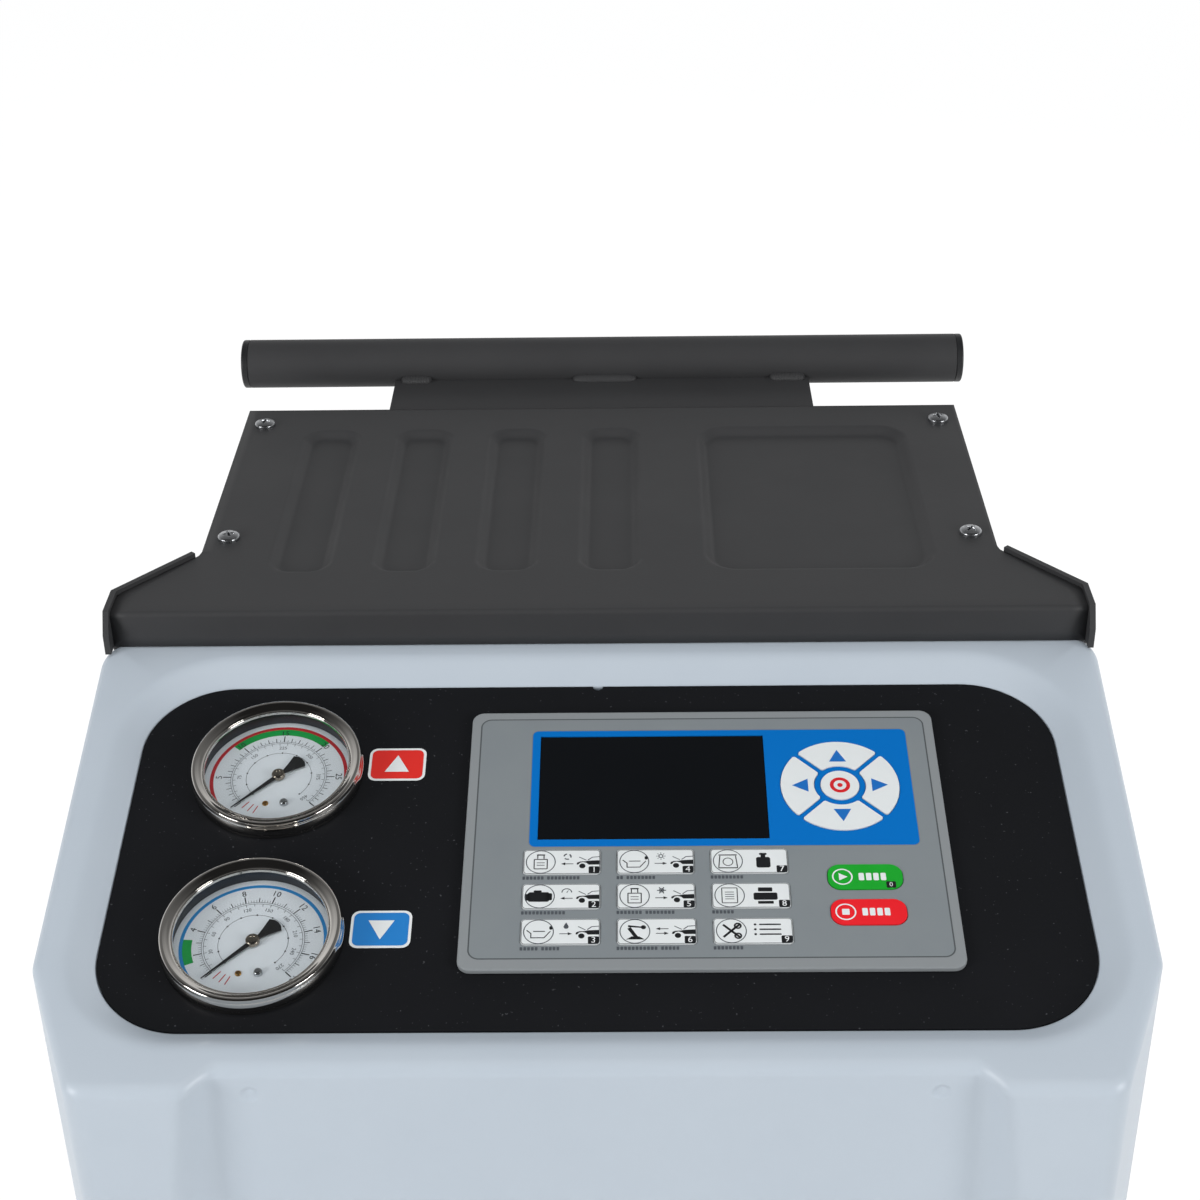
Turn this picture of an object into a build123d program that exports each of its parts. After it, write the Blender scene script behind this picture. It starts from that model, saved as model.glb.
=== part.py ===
from build123d import *
import os
from math import cos, radians, sin, sqrt

# A wheeled air conditioning recharge station: a narrow sheet steel cabinet at the back, a wide
# formed plastic cover at the front with a sloping instrument panel, and a steel tool tray with
# a tube handle on top. Origin on the floor under the middle, +Z up, front facing -Y.
# Lengths are in millimetres, angles in degrees.

# Main heights and the line where the sloping cover meets the lip of the tray
LIP_BASE_Z = 950.0
LIP_Y = -23.0
SLOPE = 12.0
FLOOR_Z = 128.0
SHEET = 2.0
PLATE = 2.5
SCREW_HOLE_R = 3.3

# Front cover: formed plastic shell
COVER_HALF = 256.0
COVER_WALL = 4.0
COVER_BOTTOM_Z = 108.0
COVER_LAP = 9.0
COVER_REAR_Y = LIP_Y + COVER_LAP
COVER_FRONT_Y = -289.0
COVER_FRONT_HALF = 225.5
SHOULDER_HALF = COVER_HALF - 3.0
SHOULDER_Y = -222.0
REAR_CORNER_R = 20.0
FRONT_CORNER_R = 11.0
SHOULDER_R = 14.0
TOP_EDGE_R = 7.0
COVER_JOINT = 0.3
FLANGE_HALF = 225.0

# Channel down the front of the cover: height, half width at the face, half width of its floor, depth
CHANNEL_TOP_Z = 912.0
CHANNEL_LEVELS = [
    (CHANNEL_TOP_Z, 175.0, 162.0, 10.0),
    (825.0, 187.5, 166.0, 14.0),
    (420.0, 190.0, 167.0, 16.0),
    (372.0, 176.0, 160.0, 0.5),
]
CHANNEL_DIMPLE_X = 149.0
CHANNEL_DIMPLE_Z = 881.0
CHANNEL_DIMPLE_R = 2.5
CHANNEL_DIMPLE_DEPTH = 1.0

# Sloping instrument panel; s runs down the slope from the lip line
PANEL_DEPTH = 8.0
PANEL_THICK = 3.0
PANEL_WIDTH = 452.0
PANEL_LENGTH = 212.0
PANEL_S = 129.5
PANEL_R = 43.0
PANEL_FIT = 0.3
MOUTH_FLARE = 12.7
PANEL_LEDGE = 10.0
PANEL_NOTCH_R = 2.5

# Pressure gauges
GAUGE_X = -156.6
GAUGE_S = (82.6, 184.8)
BEZEL_R = 42.3
BEZEL_TUBE_R = 4.4
BEZEL_TUBE_Z = 7.0
BEZEL_LIP = 2.0
CASE_R = 38.4
CASE_WALL = 1.6
CASE_DEPTH = 30.0
CASE_EDGE = 3.0
CASE_FLANGE = 1.2
GLASS_SEAT = 0.8
DIAL_SEAT = 1.5
MOVEMENT_WIDTH = 26.0
MOVEMENT_LENGTH = 18.0
GAUGE_HOLE_GAP = 0.4
GLASS_THICK = 2.0
GLASS_Z = 4.0
DIAL_Z = -2.0
DIAL_THICK = 1.0
DIAL_GAP = 0.6
POINTER_LENGTH = 29.5
POINTER_TAIL = 14.3
POINTER_TAIL_WIDTH = 7.6
POINTER_THICK = 0.6
POINTER_LIFT = 1.0
POINTER_ZERO = 225.0
HUB_R = 3.6
HUB_HEIGHT = 2.4
ARBOR_R = 0.9
ARBOR_GAP = 0.05
STEM_R = 6.5
STEM_LENGTH = 18.0
STEM_HEX = 14.0
STEM_HEX_LENGTH = 10.0

# Keypad panel, display and keys; places are x and s in the plane of the instrument panel
KEYPAD_WIDTH = 229.0
KEYPAD_LENGTH = 160.4
KEYPAD_X = 52.0
KEYPAD_S = 124.6
KEYPAD_R = 6.0
KEYPAD_THICK = 3.0
DISPLAY_WIDTH = 109.6
DISPLAY_LENGTH = 66.8
DISPLAY_X = 26.9
DISPLAY_S = 94.7
DISPLAY_GAP = 0.2
DISPLAY_STEP = 0.4
DISPLAY_RIM = 5.0
DISPLAY_FLANGE = 1.0
CUTOUT_WIDTH = 196.0
CUTOUT_LENGTH = 142.0
CUTOUT_X = 56.0
CUTOUT_S = 125.5
KEY_TRAVEL = 0.5
KEY_GAP = 0.3
KEY_RISE = 0.4
KEY_FLANGE = 0.9
KEY_FLANGE_THICK = 0.8
KEY_WIDTH = 36.0
KEY_HEIGHT = 14.6
KEY_R = 1.8
KEY_X = 27.6
KEY_S = 163.0
KEY_PITCH_X = 43.8
KEY_PITCH_S = 20.6
RUN_KEY_WIDTH = 34.7
RUN_KEY_HEIGHT = 14.8
RUN_KEY_R = 6.0
RUN_KEY_X = 124.8
START_KEY_S = 152.3
STOP_KEY_S = 173.0
NAV_X = 117.5
NAV_S = 95.0
NAV_R = 28.6
NAV_INNER_R = 12.6
NAV_SPLIT = 2.6
NAV_KEY_R = 1.2
ENTER_KEY_R = 9.3
BOARD_DEPTH = 12.0
BOARD_THICK = 1.6
BOARD_X = 54.0
BOARD_WIDTH = 217.0
BOARD_LENGTH = 160.0
BOARD_POST_R = 3.0
BOARD_POST_INSET = 5.0
SWITCH_R = 3.0
SWITCH_GAP = 0.1

# Tool tray on top
TRAY_TOP_Z = LIP_BASE_Z + 20.0
TRAY_REAR_Y = 214.5
TRAY_NOTCH_Y = 40.5
POCKET_DEPTH = 4.0
POCKET_DRAFT = 40.0
SLOT_WIDTH = 35.0
SLOT_LENGTH = 169.0
SLOT_R = 13.0
SLOT_PITCH = 55.0
SLOT_X = -76.3
SLOT_COUNT = 4
POCKET_Y = 102.5
POCKET_WIDTH = 124.0
POCKET_LENGTH = 170.0
POCKET_X = 118.0
POCKET_R = 18.0
LIP_BEND_R = 2.6
SCREW_INSET = 12.3
SCREW_SPAN_Y = 138.6
SCREW_Y = 124.5
SCREW_HEAD_R = 6.0
SCREW_HEAD_HEIGHT = 3.6
SCREW_R = 3.0
SCREW_LENGTH = 14.0
SCREW_SLOT = 1.2

# Tube handle behind the tray
HANDLE_R = 15.0
HANDLE_WALL = 2.0
HANDLE_LENGTH = 442.0
HANDLE_Y = 274.0
HANDLE_Z = LIP_BASE_Z + 24.0
HANDLE_CAP = 4.0
HANDLE_CAP_EDGE = 1.0
HANDLE_SPIGOT = 16.0
BRACKET_HALF = 129.0
BRACKET_THICK = 3.0
BRACKET_FRONT_Y = 192.0

# Side panels with the raised cheeks beside the tray
CHEEK_HALF = 253.3
CHEEK_SHEET = 3.0
CHEEK_FRONT_Y = -30.5
CHEEK_BEND_Y = -3.5
CHEEK_RUN = 34.8
CHEEK_END_X = CHEEK_HALF - CHEEK_RUN
CHEEK_END_Y = 36.5
CHEEK_RISE = 2.2
CHEEK_CUT_LENGTH = 6.5
CHEEK_CUT_HEIGHT = 11.0
SIDE_HALF = 211.3
TRAY_HALF = SIDE_HALF + SHEET
SCREW_SPAN_X = 2 * (TRAY_HALF - SCREW_INSET)
SIDE_REAR_Y = 211.0
FLANGE = 22.0

# Rear panel, louvres and the pieces let into it
REAR_GAP = 3.0
LOUVRE_WIDTH = 110.0
LOUVRE_SLOT = 6.0
LOUVRE_RISE = 12.0
LOUVRE_DEPTH = 6.0
LOUVRE_PITCH = 24.0
LOUVRE_COUNT = 8
LOUVRE_X = 75.0
LOUVRE_Z = 700.0
LOUVRE_LIP = 2.0
REAR_CORNER = 4.0
COUPLING_X = (-150.0, -100.0)
COUPLING_Z = 870.0
COUPLING_HEX = 22.0
COUPLING_FLANGE = 7.0
COUPLING_R = 5.5
COUPLING_LENGTH = 16.0
COUPLING_HOLE_R = 8.0
COUPLING_BORE_R = 2.5
INLET_X = 140.0
INLET_Z = 205.0
INLET_WIDTH = 34.0
INLET_HEIGHT = 66.0
INLET_FACE = 3.0
INLET_RIM = 3.0
INLET_GAP = 0.3
INLET_EDGE = 1.0
INLET_BODY = 26.0
SOCKET_WIDTH = 24.4
SOCKET_HEIGHT = 16.6
SOCKET_DEPTH = 16.0
SOCKET_Z = -13.0
PIN_SPREAD = 7.0
PIN_LENGTH = 13.0
ROCKER_Z = 18.0
ROCKER_HALF = 8.6
ROCKER_WIDTH = 12.0
ROCKER_GAP = 0.8
ROCKER_TILT = 12.0
ROCKER_PIVOT_DEPTH = 3.0
ROCKER_PIN_R = 1.5
ROCKER_PIN_GAP = 0.08

# Chassis, axle and wheels
CHASSIS_FRONT_Y = -278.0
CHASSIS_FRONT_HALF = 222.0
CHASSIS_SKIRT = 15.0
AXLE_Y = 155.0
AXLE_R = 10.0
AXLE_GAP = 0.08
SEAT_GAP = 0.05
AXLE_EAR_X = SIDE_HALF - 21.3
AXLE_EAR = 5.0
AXLE_EAR_WIDTH = 60.0
AXLE_EAR_BELOW = 18.0
WHEEL_R = 100.0
WHEEL_WIDTH = 34.0
WHEEL_OUTSET = 0.9
WHEEL_OUTER_X = CHEEK_HALF + WHEEL_OUTSET
WHEEL_INNER_X = WHEEL_OUTER_X - WHEEL_WIDTH
WHEEL_RIM_R = 72.0
WHEEL_HUB_R = 24.0
WHEEL_WEB = 8.0
WHEEL_TREAD_R = 6.0
WHEEL_HOLES = 6
WHEEL_HOLE_R = 9.0
AXLE_CAP_R = 16.0
AXLE_CAP_THICK = 5.0
WHEEL_SIDE_GAP = 0.5
CASTER_X = 165.0
CASTER_Y = -200.0
CASTER_R = 50.0
CASTER_WIDTH = 32.0
CASTER_TRAIL = 32.0
CASTER_PLATE_WIDTH = 95.0
CASTER_PLATE_LENGTH = 75.0
CASTER_PLATE_THICK = 3.0
CASTER_RACE_R = 26.0
CASTER_RACE = 6.0
CASTER_GAP = 0.5
CASTER_CROWN = 5.0
CASTER_LEG = 3.0
CASTER_SIDE_GAP = 1.5
CASTER_AXLE_R = 4.0
CASTER_PIVOT_R = 6.0
CASTER_PIVOT_HEAD_R = 9.0
CASTER_PIVOT_HEAD = 3.0
RUNNING_GAP = 0.08

# Equipment inside
TANK_R = 105.0
TANK_CLEARANCE = 8.0
TANK_SIDE_CLEARANCE = 11.8
TANK_X = TANK_R + TANK_SIDE_CLEARANCE - (SIDE_HALF - PLATE)
TANK_Y = SIDE_REAR_Y - TANK_CLEARANCE - TANK_R
TANK_FRONT_GAP = 5.0
TANK_HEIGHT = 390.0
TANK_DOME = 45.0
TANK_WALL = 3.0
TANK_FOOT_R = 0.72 * TANK_R
TANK_FOOT = 15.0
TANK_KNUCKLE = 45.0
TANK_NECK_R = 18.0
TANK_NECK = 20.0
TANK_VALVE_R = 10.0
TANK_VALVE = 40.0
EQUIPMENT_Y = TANK_Y - TANK_R - TANK_FRONT_GAP
EQUIPMENT_TOP_Z = 925.0
EQUIPMENT_HALF = 215.0
EQUIPMENT_FOOT = 24.0
SCALE_SIZE = 200.0
SCALE_PLATE = 5.0
SCALE_BEAM = 28.0
SCALE_CORNER_R = 8.0
COMPRESSOR_X = 110.0
COMPRESSOR_Y = -150.0
COMPRESSOR_R = 72.0
COMPRESSOR_HEIGHT = 165.0
COMPRESSOR_BASE_WIDTH = 172.0
COMPRESSOR_BASE_LENGTH = 136.0
COMPRESSOR_BASE = 4.0
COMPRESSOR_FOOT = 14.0
COMPRESSOR_FOOT_R = 11.0
COMPRESSOR_FOOT_INSET = 12.0
PUMP_X = 112.0
PUMP_Y = 100.0
PUMP_R = 58.0
PUMP_LENGTH = 130.0
PUMP_MOTOR = 80.0
PUMP_BASE_OVER = 18.0
PUMP_BASE_WIDTH = 90.0
PUMP_BASE = 4.0
PUMP_LIFT = 18.0
PUMP_FOOT_X = (-30.0, 40.0)
PUMP_FOOT_WIDTH = 16.0
PUMP_FOOT_LENGTH = 70.0
PUMP_FOOT = 24.0
PUMP_BOX_WIDTH = 90.0
PUMP_BOX_HEIGHT = 84.0
PUMP_BOX_LENGTH = 65.0
PUMP_BOX_R = 10.0
PUMP_FILLER_X = 38.0
PUMP_FILLER_R = 12.0
PUMP_FILLER = 42.0
DRIER_X = -140.0
DRIER_Z = 470.0
DRIER_R = 38.0
DRIER_LENGTH = 150.0
DRIER_CHAMFER = 14.0
DRIER_STUB_R = 6.0
DRIER_STUB = 22.0
DRIER_STANDOFF = 6.0
DRIER_CLAMP_WIDTH = 30.0
DRIER_CLAMP = 24.0
BLOCK_X = 40.0
BLOCK_Z = 560.0
BLOCK_WIDTH = 220.0
BLOCK_HEIGHT = 50.0
BLOCK_DEPTH = 45.0
COIL_R = 15.0
COIL_LENGTH = 38.0
COIL_COUNT = 5
COIL_NUT_R = 6.75
COIL_NUT = 6.0
CONDENSER_X = 70.0
CONDENSER_Z = 760.0
CONDENSER_SIZE = 230.0
CONDENSER_THICK = 36.0
CONDENSER_Y = 40.0
CONDENSER_FRAME = 8.0
CONDENSER_ARM_INSET = 10.0
FAN_R = 95.0
FAN_TIP_GAP = 4.0
FAN_HUB_R = 26.0
FAN_WIDTH = 26.0
FAN_BLADES = 7
FAN_PITCH = 35.0
FAN_SHAFT_R = 3.0
FAN_GAP = 6.0
FAN_ROOT = 34.0
FAN_TIP = 46.0
FAN_TWIST = 14.0
FAN_BLADE = 2.0
SPIDER = 3.0
SPIDER_ARM = 8.0
SPIDER_R = 24.0
MOTOR_R = 22.0
MOTOR_LENGTH = 24.0

os.makedirs("parts", exist_ok=True)

slope = Plane(
    origin=(0, LIP_Y, LIP_BASE_Z),
    x_dir=(1, 0, 0),
    z_dir=(0, -sin(radians(SLOPE)), cos(radians(SLOPE))),
)
panel_face = slope.offset(-PANEL_DEPTH)
keypad_face = panel_face.offset(KEYPAD_THICK)
FLOOR_TOP_Z = FLOOR_Z + PLATE
TRAY_UNDER_Z = TRAY_TOP_Z - SHEET


def on_slope(plane, x, s, turn=0.0):
    """The plane moved to a place on the sloping panel and turned about its own normal."""
    return Plane(plane.location * Location((x, -s, 0), (0, 0, turn)))


def finish(piece, name):
    """Label a finished piece and write it."""
    piece.part.label = name
    export_step(piece.part, f"parts/{name}.step")


# Front cover
def cover_outline(base, inset):
    """Plan of the cover, drawn in by the wall thickness for its inside."""
    with BuildSketch(base) as plan:
        with BuildLine():
            Polyline(
                (-COVER_HALF, COVER_REAR_Y),
                (COVER_HALF, COVER_REAR_Y),
                (SHOULDER_HALF, SHOULDER_Y),
                (COVER_FRONT_HALF, COVER_FRONT_Y),
                (-COVER_FRONT_HALF, COVER_FRONT_Y),
                (-SHOULDER_HALF, SHOULDER_Y),
                close=True,
            )
        make_face()
        corners = plan.vertices().group_by(Axis.Y)
        fillet(corners[-1], REAR_CORNER_R)
        fillet(plan.vertices().group_by(Axis.Y)[0], FRONT_CORNER_R)
        shoulders = [v for v in plan.vertices() if abs(v.Y - SHOULDER_Y) < 1]
        fillet(shoulders, SHOULDER_R)
        if inset:
            offset(amount=-inset)
    return plan.sketch


def front_channel(extra):
    """The hollow down the front face, grown by extra on its floor and sides."""
    with BuildPart() as channel:
        for level, outer, inner, depth in CHANNEL_LEVELS:
            with BuildSketch(Plane.XY.offset(level)):
                with BuildLine():
                    Polyline(
                        (-outer - extra, COVER_FRONT_Y - 1),
                        (outer + extra, COVER_FRONT_Y - 1),
                        (inner + extra, COVER_FRONT_Y + depth + extra),
                        (-inner - extra, COVER_FRONT_Y + depth + extra),
                        close=True,
                    )
                make_face()
        loft(ruled=True)
    return channel.part


def panel_recess(grow, depth_plane):
    """The flared recess of the sloping top, from its mouth to its floor."""
    with BuildPart() as recess:
        with BuildSketch(on_slope(slope.offset(1), 0, PANEL_S)):
            flare = MOUTH_FLARE * (PANEL_DEPTH + 1) / PANEL_DEPTH
            RectangleRounded(
                PANEL_WIDTH + 2 * flare + 2 * grow,
                PANEL_LENGTH + 2 * flare + 2 * grow,
                PANEL_R + flare + grow,
            )
        with BuildSketch(on_slope(depth_plane, 0, PANEL_S)):
            RectangleRounded(
                PANEL_WIDTH + 2 * PANEL_FIT + 2 * grow,
                PANEL_LENGTH + 2 * PANEL_FIT + 2 * grow,
                PANEL_R + grow,
            )
        loft()
    return recess.part


with BuildPart() as cover_inside:
    add(cover_outline(Plane.XY.offset(COVER_BOTTOM_Z - 1), COVER_WALL))
    extrude(amount=LIP_BASE_Z - COVER_JOINT - COVER_WALL - COVER_BOTTOM_Z + 1)
    split(bisect_by=slope.offset(-COVER_WALL), keep=Keep.BOTTOM)
    add(panel_recess(COVER_WALL, slope.offset(-PANEL_DEPTH - PANEL_THICK - COVER_WALL)),
        mode=Mode.SUBTRACT)
    add(front_channel(COVER_WALL), mode=Mode.SUBTRACT)

with BuildPart() as front_cover:
    add(cover_outline(Plane.XY.offset(COVER_BOTTOM_Z), 0))
    extrude(amount=LIP_BASE_Z + COVER_LAP - COVER_BOTTOM_Z)
    split(bisect_by=slope, keep=Keep.BOTTOM)
    top = front_cover.faces().filter_by(slope).sort_by(Axis.Z)[-1]
    fillet(top.edges(), TOP_EDGE_R)
    # The back of the top passes level under the lip of the tray
    with BuildSketch(Plane.XY.offset(LIP_BASE_Z - COVER_JOINT)):
        with Locations((0, LIP_Y + COVER_LAP)):
            Rectangle(2 * COVER_HALF, 2 * COVER_LAP + 4)
    extrude(amount=2 * COVER_LAP, mode=Mode.SUBTRACT)
    add(panel_recess(0, panel_face), mode=Mode.SUBTRACT)
    with BuildSketch(on_slope(panel_face, 0, PANEL_S)):
        RectangleRounded(PANEL_WIDTH + 2 * PANEL_FIT, PANEL_LENGTH + 2 * PANEL_FIT, PANEL_R)
    extrude(amount=-PANEL_THICK, mode=Mode.SUBTRACT)
    add(front_channel(0), mode=Mode.SUBTRACT)
    add(cover_inside.part, mode=Mode.SUBTRACT)
    with BuildSketch(on_slope(panel_face, 0, PANEL_S)):
        RectangleRounded(
            PANEL_WIDTH - 2 * PANEL_LEDGE, PANEL_LENGTH - 2 * PANEL_LEDGE, PANEL_R - PANEL_LEDGE
        )
    extrude(amount=-PANEL_THICK - COVER_WALL - 1, mode=Mode.SUBTRACT)
    # The back is open between the two return flanges
    with BuildSketch(Plane.XZ.offset(-COVER_REAR_Y - 1)):
        with Locations((0, (COVER_BOTTOM_Z + LIP_BASE_Z - COVER_WALL) / 2 - 1)):
            Rectangle(2 * FLANGE_HALF, LIP_BASE_Z - COVER_WALL - COVER_BOTTOM_Z)
    extrude(amount=COVER_WALL + 2, mode=Mode.SUBTRACT)
    # Two shallow dimples high in the channel
    (high_z, _, _, high_depth), (next_z, _, _, next_depth) = CHANNEL_LEVELS[:2]
    fall = (high_z - CHANNEL_DIMPLE_Z) / (high_z - next_z)
    channel_y = COVER_FRONT_Y + high_depth + fall * (next_depth - high_depth)
    with BuildSketch(Plane.XZ.offset(-channel_y - CHANNEL_DIMPLE_DEPTH)):
        with Locations((-CHANNEL_DIMPLE_X, CHANNEL_DIMPLE_Z), (CHANNEL_DIMPLE_X, CHANNEL_DIMPLE_Z)):
            Circle(CHANNEL_DIMPLE_R)
    extrude(amount=2 * CHANNEL_DIMPLE_DEPTH, mode=Mode.SUBTRACT)
finish(front_cover, "front_cover")


# Instrument panel: flat black plate with openings for the gauges and the controller
with BuildPart() as instrument_panel:
    with BuildSketch(on_slope(panel_face, 0, PANEL_S)):
        RectangleRounded(PANEL_WIDTH, PANEL_LENGTH, PANEL_R)
        with Locations((0, PANEL_LENGTH / 2)):
            Circle(PANEL_NOTCH_R, mode=Mode.SUBTRACT)
        with Locations(*[(GAUGE_X, PANEL_S - s) for s in GAUGE_S]):
            Circle(CASE_R + GAUGE_HOLE_GAP, mode=Mode.SUBTRACT)
        with Locations((CUTOUT_X, PANEL_S - CUTOUT_S)):
            RectangleRounded(CUTOUT_WIDTH, CUTOUT_LENGTH, 4, mode=Mode.SUBTRACT)
    extrude(amount=-PANEL_THICK)
finish(instrument_panel, "instrument_panel")


# Pressure gauges: case with back stem, rolled bezel, glass, dial and pointer
def gauge(side, s):
    """One gauge; heights count from the face of the instrument panel."""
    seat = on_slope(panel_face, GAUGE_X, s)
    profile = Plane(origin=seat.origin, x_dir=seat.x_dir, z_dir=-seat.y_dir)
    inner_r = CASE_R - CASE_WALL
    flange_r = BEZEL_R - BEZEL_TUBE_R / 2
    with BuildPart() as case:
        with BuildSketch(profile):
            with BuildLine():
                Polyline(
                    (0, -CASE_DEPTH),
                    (CASE_R - CASE_EDGE, -CASE_DEPTH),
                    (CASE_R, -CASE_DEPTH + CASE_EDGE),
                    (CASE_R, 0),
                    (flange_r, 0),
                    (flange_r, CASE_FLANGE),
                    (inner_r + GLASS_SEAT, CASE_FLANGE),
                    (inner_r + GLASS_SEAT, GLASS_Z),
                    (inner_r, GLASS_Z),
                    (inner_r, DIAL_Z - DIAL_THICK),
                    (inner_r - DIAL_SEAT, DIAL_Z - DIAL_THICK),
                    (inner_r - DIAL_SEAT, -CASE_DEPTH + CASE_WALL),
                    (0, -CASE_DEPTH + CASE_WALL),
                    close=True,
                )
            make_face()
        revolve(axis=Axis(seat.origin, seat.z_dir))
        with BuildSketch(seat.offset(-CASE_DEPTH)):
            RegularPolygon(STEM_HEX / 2, 6, major_radius=False)
        extrude(amount=-STEM_HEX_LENGTH)
        with BuildSketch(seat.offset(-CASE_DEPTH - STEM_HEX_LENGTH)):
            Circle(STEM_R)
        extrude(amount=-STEM_LENGTH)
        chamfer(case.edges().sort_by(Axis(seat.origin, seat.z_dir))[0], 1)
        # The movement stands on the back of the case and ends in the arbor of the pointer
        with BuildSketch(seat.offset(-CASE_DEPTH + CASE_WALL)):
            Rectangle(MOVEMENT_WIDTH, MOVEMENT_LENGTH)
        extrude(amount=CASE_DEPTH - CASE_WALL + DIAL_Z - DIAL_THICK - DIAL_GAP)
        with BuildSketch(seat.offset(DIAL_Z - DIAL_THICK - DIAL_GAP)):
            Circle(ARBOR_R)
        extrude(amount=DIAL_THICK + DIAL_GAP + POINTER_LIFT + HUB_HEIGHT - 0.4)
    finish(case, f"{side}_gauge_case")

    with BuildPart() as bezel:
        with BuildSketch(profile):
            with BuildLine():
                Polyline(
                    (flange_r + 0.2, 0),
                    (BEZEL_R, 0),
                    (BEZEL_R, BEZEL_TUBE_Z),
                )
                ThreePointArc(
                    (BEZEL_R, BEZEL_TUBE_Z),
                    (BEZEL_R - BEZEL_TUBE_R, BEZEL_TUBE_Z + BEZEL_TUBE_R),
                    (BEZEL_R - 2 * BEZEL_TUBE_R, BEZEL_TUBE_Z),
                )
                Polyline(
                    (BEZEL_R - 2 * BEZEL_TUBE_R, BEZEL_TUBE_Z),
                    (inner_r - BEZEL_LIP, GLASS_Z + GLASS_THICK + 0.1),
                    (flange_r + 0.2, GLASS_Z + GLASS_THICK + 0.1),
                    (flange_r + 0.2, 0),
                )
            make_face()
        revolve(axis=Axis(seat.origin, seat.z_dir))
    finish(bezel, f"{side}_gauge_bezel")

    with BuildPart() as glass:
        with BuildSketch(seat.offset(GLASS_Z)):
            Circle(CASE_R)
        extrude(amount=GLASS_THICK)
    finish(glass, f"{side}_gauge_glass")

    with BuildPart() as dial:
        with BuildSketch(seat.offset(DIAL_Z)):
            Circle(inner_r - 0.1)
            Circle(ARBOR_R + 0.6, mode=Mode.SUBTRACT)
        extrude(amount=-DIAL_THICK)
    finish(dial, f"{side}_gauge_dial")

    with BuildPart() as pointer:
        blade = Plane(seat.location * Location((0, 0, DIAL_Z + POINTER_LIFT), (0, 0, POINTER_ZERO)))
        with BuildSketch(blade):
            with BuildLine():
                Polyline(
                    (POINTER_LENGTH, 0),
                    (0, 1.5),
                    (-POINTER_TAIL, POINTER_TAIL_WIDTH / 2),
                    (-POINTER_TAIL, -POINTER_TAIL_WIDTH / 2),
                    (0, -1.5),
                    close=True,
                )
            make_face()
        extrude(amount=POINTER_THICK)
        with BuildSketch(blade):
            Circle(HUB_R)
        extrude(amount=HUB_HEIGHT)
        with BuildSketch(blade):
            Circle(ARBOR_R + ARBOR_GAP)
        extrude(amount=HUB_HEIGHT - 0.3, mode=Mode.SUBTRACT)
    finish(pointer, f"{side}_gauge_pointer")


for side, s in zip(("high_side", "low_side"), GAUGE_S):
    gauge(side, s)


# Keys: each has a flange below the keypad panel that keeps it in its window
def bar_key(width, height, radius):
    """Outline of a key with rounded ends or corners."""
    with BuildSketch() as outline:
        RectangleRounded(width, height, radius)
    return outline.sketch


def arrow_key():
    """Outline of one quarter of the arrow key ring, pointing up the panel."""
    reach = 2 * NAV_R
    apex = NAV_SPLIT / sqrt(2)
    with BuildSketch() as outline:
        Circle(NAV_R)
        Circle(NAV_INNER_R, mode=Mode.SUBTRACT)
        with BuildLine():
            Polyline((0, apex), (reach, apex + reach), (-reach, apex + reach), close=True)
        make_face(mode=Mode.INTERSECT)
        fillet(outline.vertices(), NAV_KEY_R)
    return outline.sketch


def enter_key():
    """Outline of the round key in the middle of the arrows."""
    with BuildSketch() as outline:
        Circle(ENTER_KEY_R)
    return outline.sketch


keys = {}
for row in range(3):
    for column in range(3):
        place = (KEY_X + (column - 1) * KEY_PITCH_X, KEY_S + (row - 1) * KEY_PITCH_S, 0)
        keys[f"function_key_{3 * column + row + 1}"] = (bar_key(KEY_WIDTH, KEY_HEIGHT, KEY_R), place)
keys["start_key"] = (bar_key(RUN_KEY_WIDTH, RUN_KEY_HEIGHT, RUN_KEY_R), (RUN_KEY_X, START_KEY_S, 0))
keys["stop_key"] = (bar_key(RUN_KEY_WIDTH, RUN_KEY_HEIGHT, RUN_KEY_R), (RUN_KEY_X, STOP_KEY_S, 0))
for name, turn in (("up", 0), ("left", 90), ("down", 180), ("right", 270)):
    keys[f"arrow_key_{name}"] = (arrow_key(), (NAV_X, NAV_S, turn))
keys["enter_key"] = (enter_key(), (NAV_X, NAV_S, 0))

key_foot = -COVER_JOINT - KEY_FLANGE_THICK
for name, (outline, place) in keys.items():
    with BuildPart() as key:
        with BuildSketch(on_slope(panel_face, *place).offset(key_foot)):
            add(outline)
        extrude(amount=KEYPAD_THICK + KEY_RISE - key_foot)
        with BuildSketch(on_slope(panel_face, *place).offset(key_foot)):
            add(outline)
            offset(amount=KEY_FLANGE)
        extrude(amount=KEY_FLANGE_THICK)
    finish(key, name)


# Keypad panel: the grey plate round the display and the keys
with BuildPart() as keypad_panel:
    with BuildSketch(on_slope(panel_face, KEYPAD_X, KEYPAD_S)):
        RectangleRounded(KEYPAD_WIDTH, KEYPAD_LENGTH, KEYPAD_R)
    extrude(amount=KEYPAD_THICK)
    fillet(keypad_panel.faces().sort_by(Axis.Z)[-1].outer_wire().edges(), 0.8)
    with BuildSketch(on_slope(panel_face, DISPLAY_X, DISPLAY_S)):
        Rectangle(DISPLAY_WIDTH + 2 * DISPLAY_GAP, DISPLAY_LENGTH + 2 * DISPLAY_GAP)
    extrude(amount=KEYPAD_THICK + 1, mode=Mode.SUBTRACT)
    for outline, place in keys.values():
        with BuildSketch(on_slope(panel_face, *place)):
            add(outline)
            offset(amount=KEY_GAP)
        extrude(amount=KEYPAD_THICK + 1, mode=Mode.SUBTRACT)
finish(keypad_panel, "keypad_panel")

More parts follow.
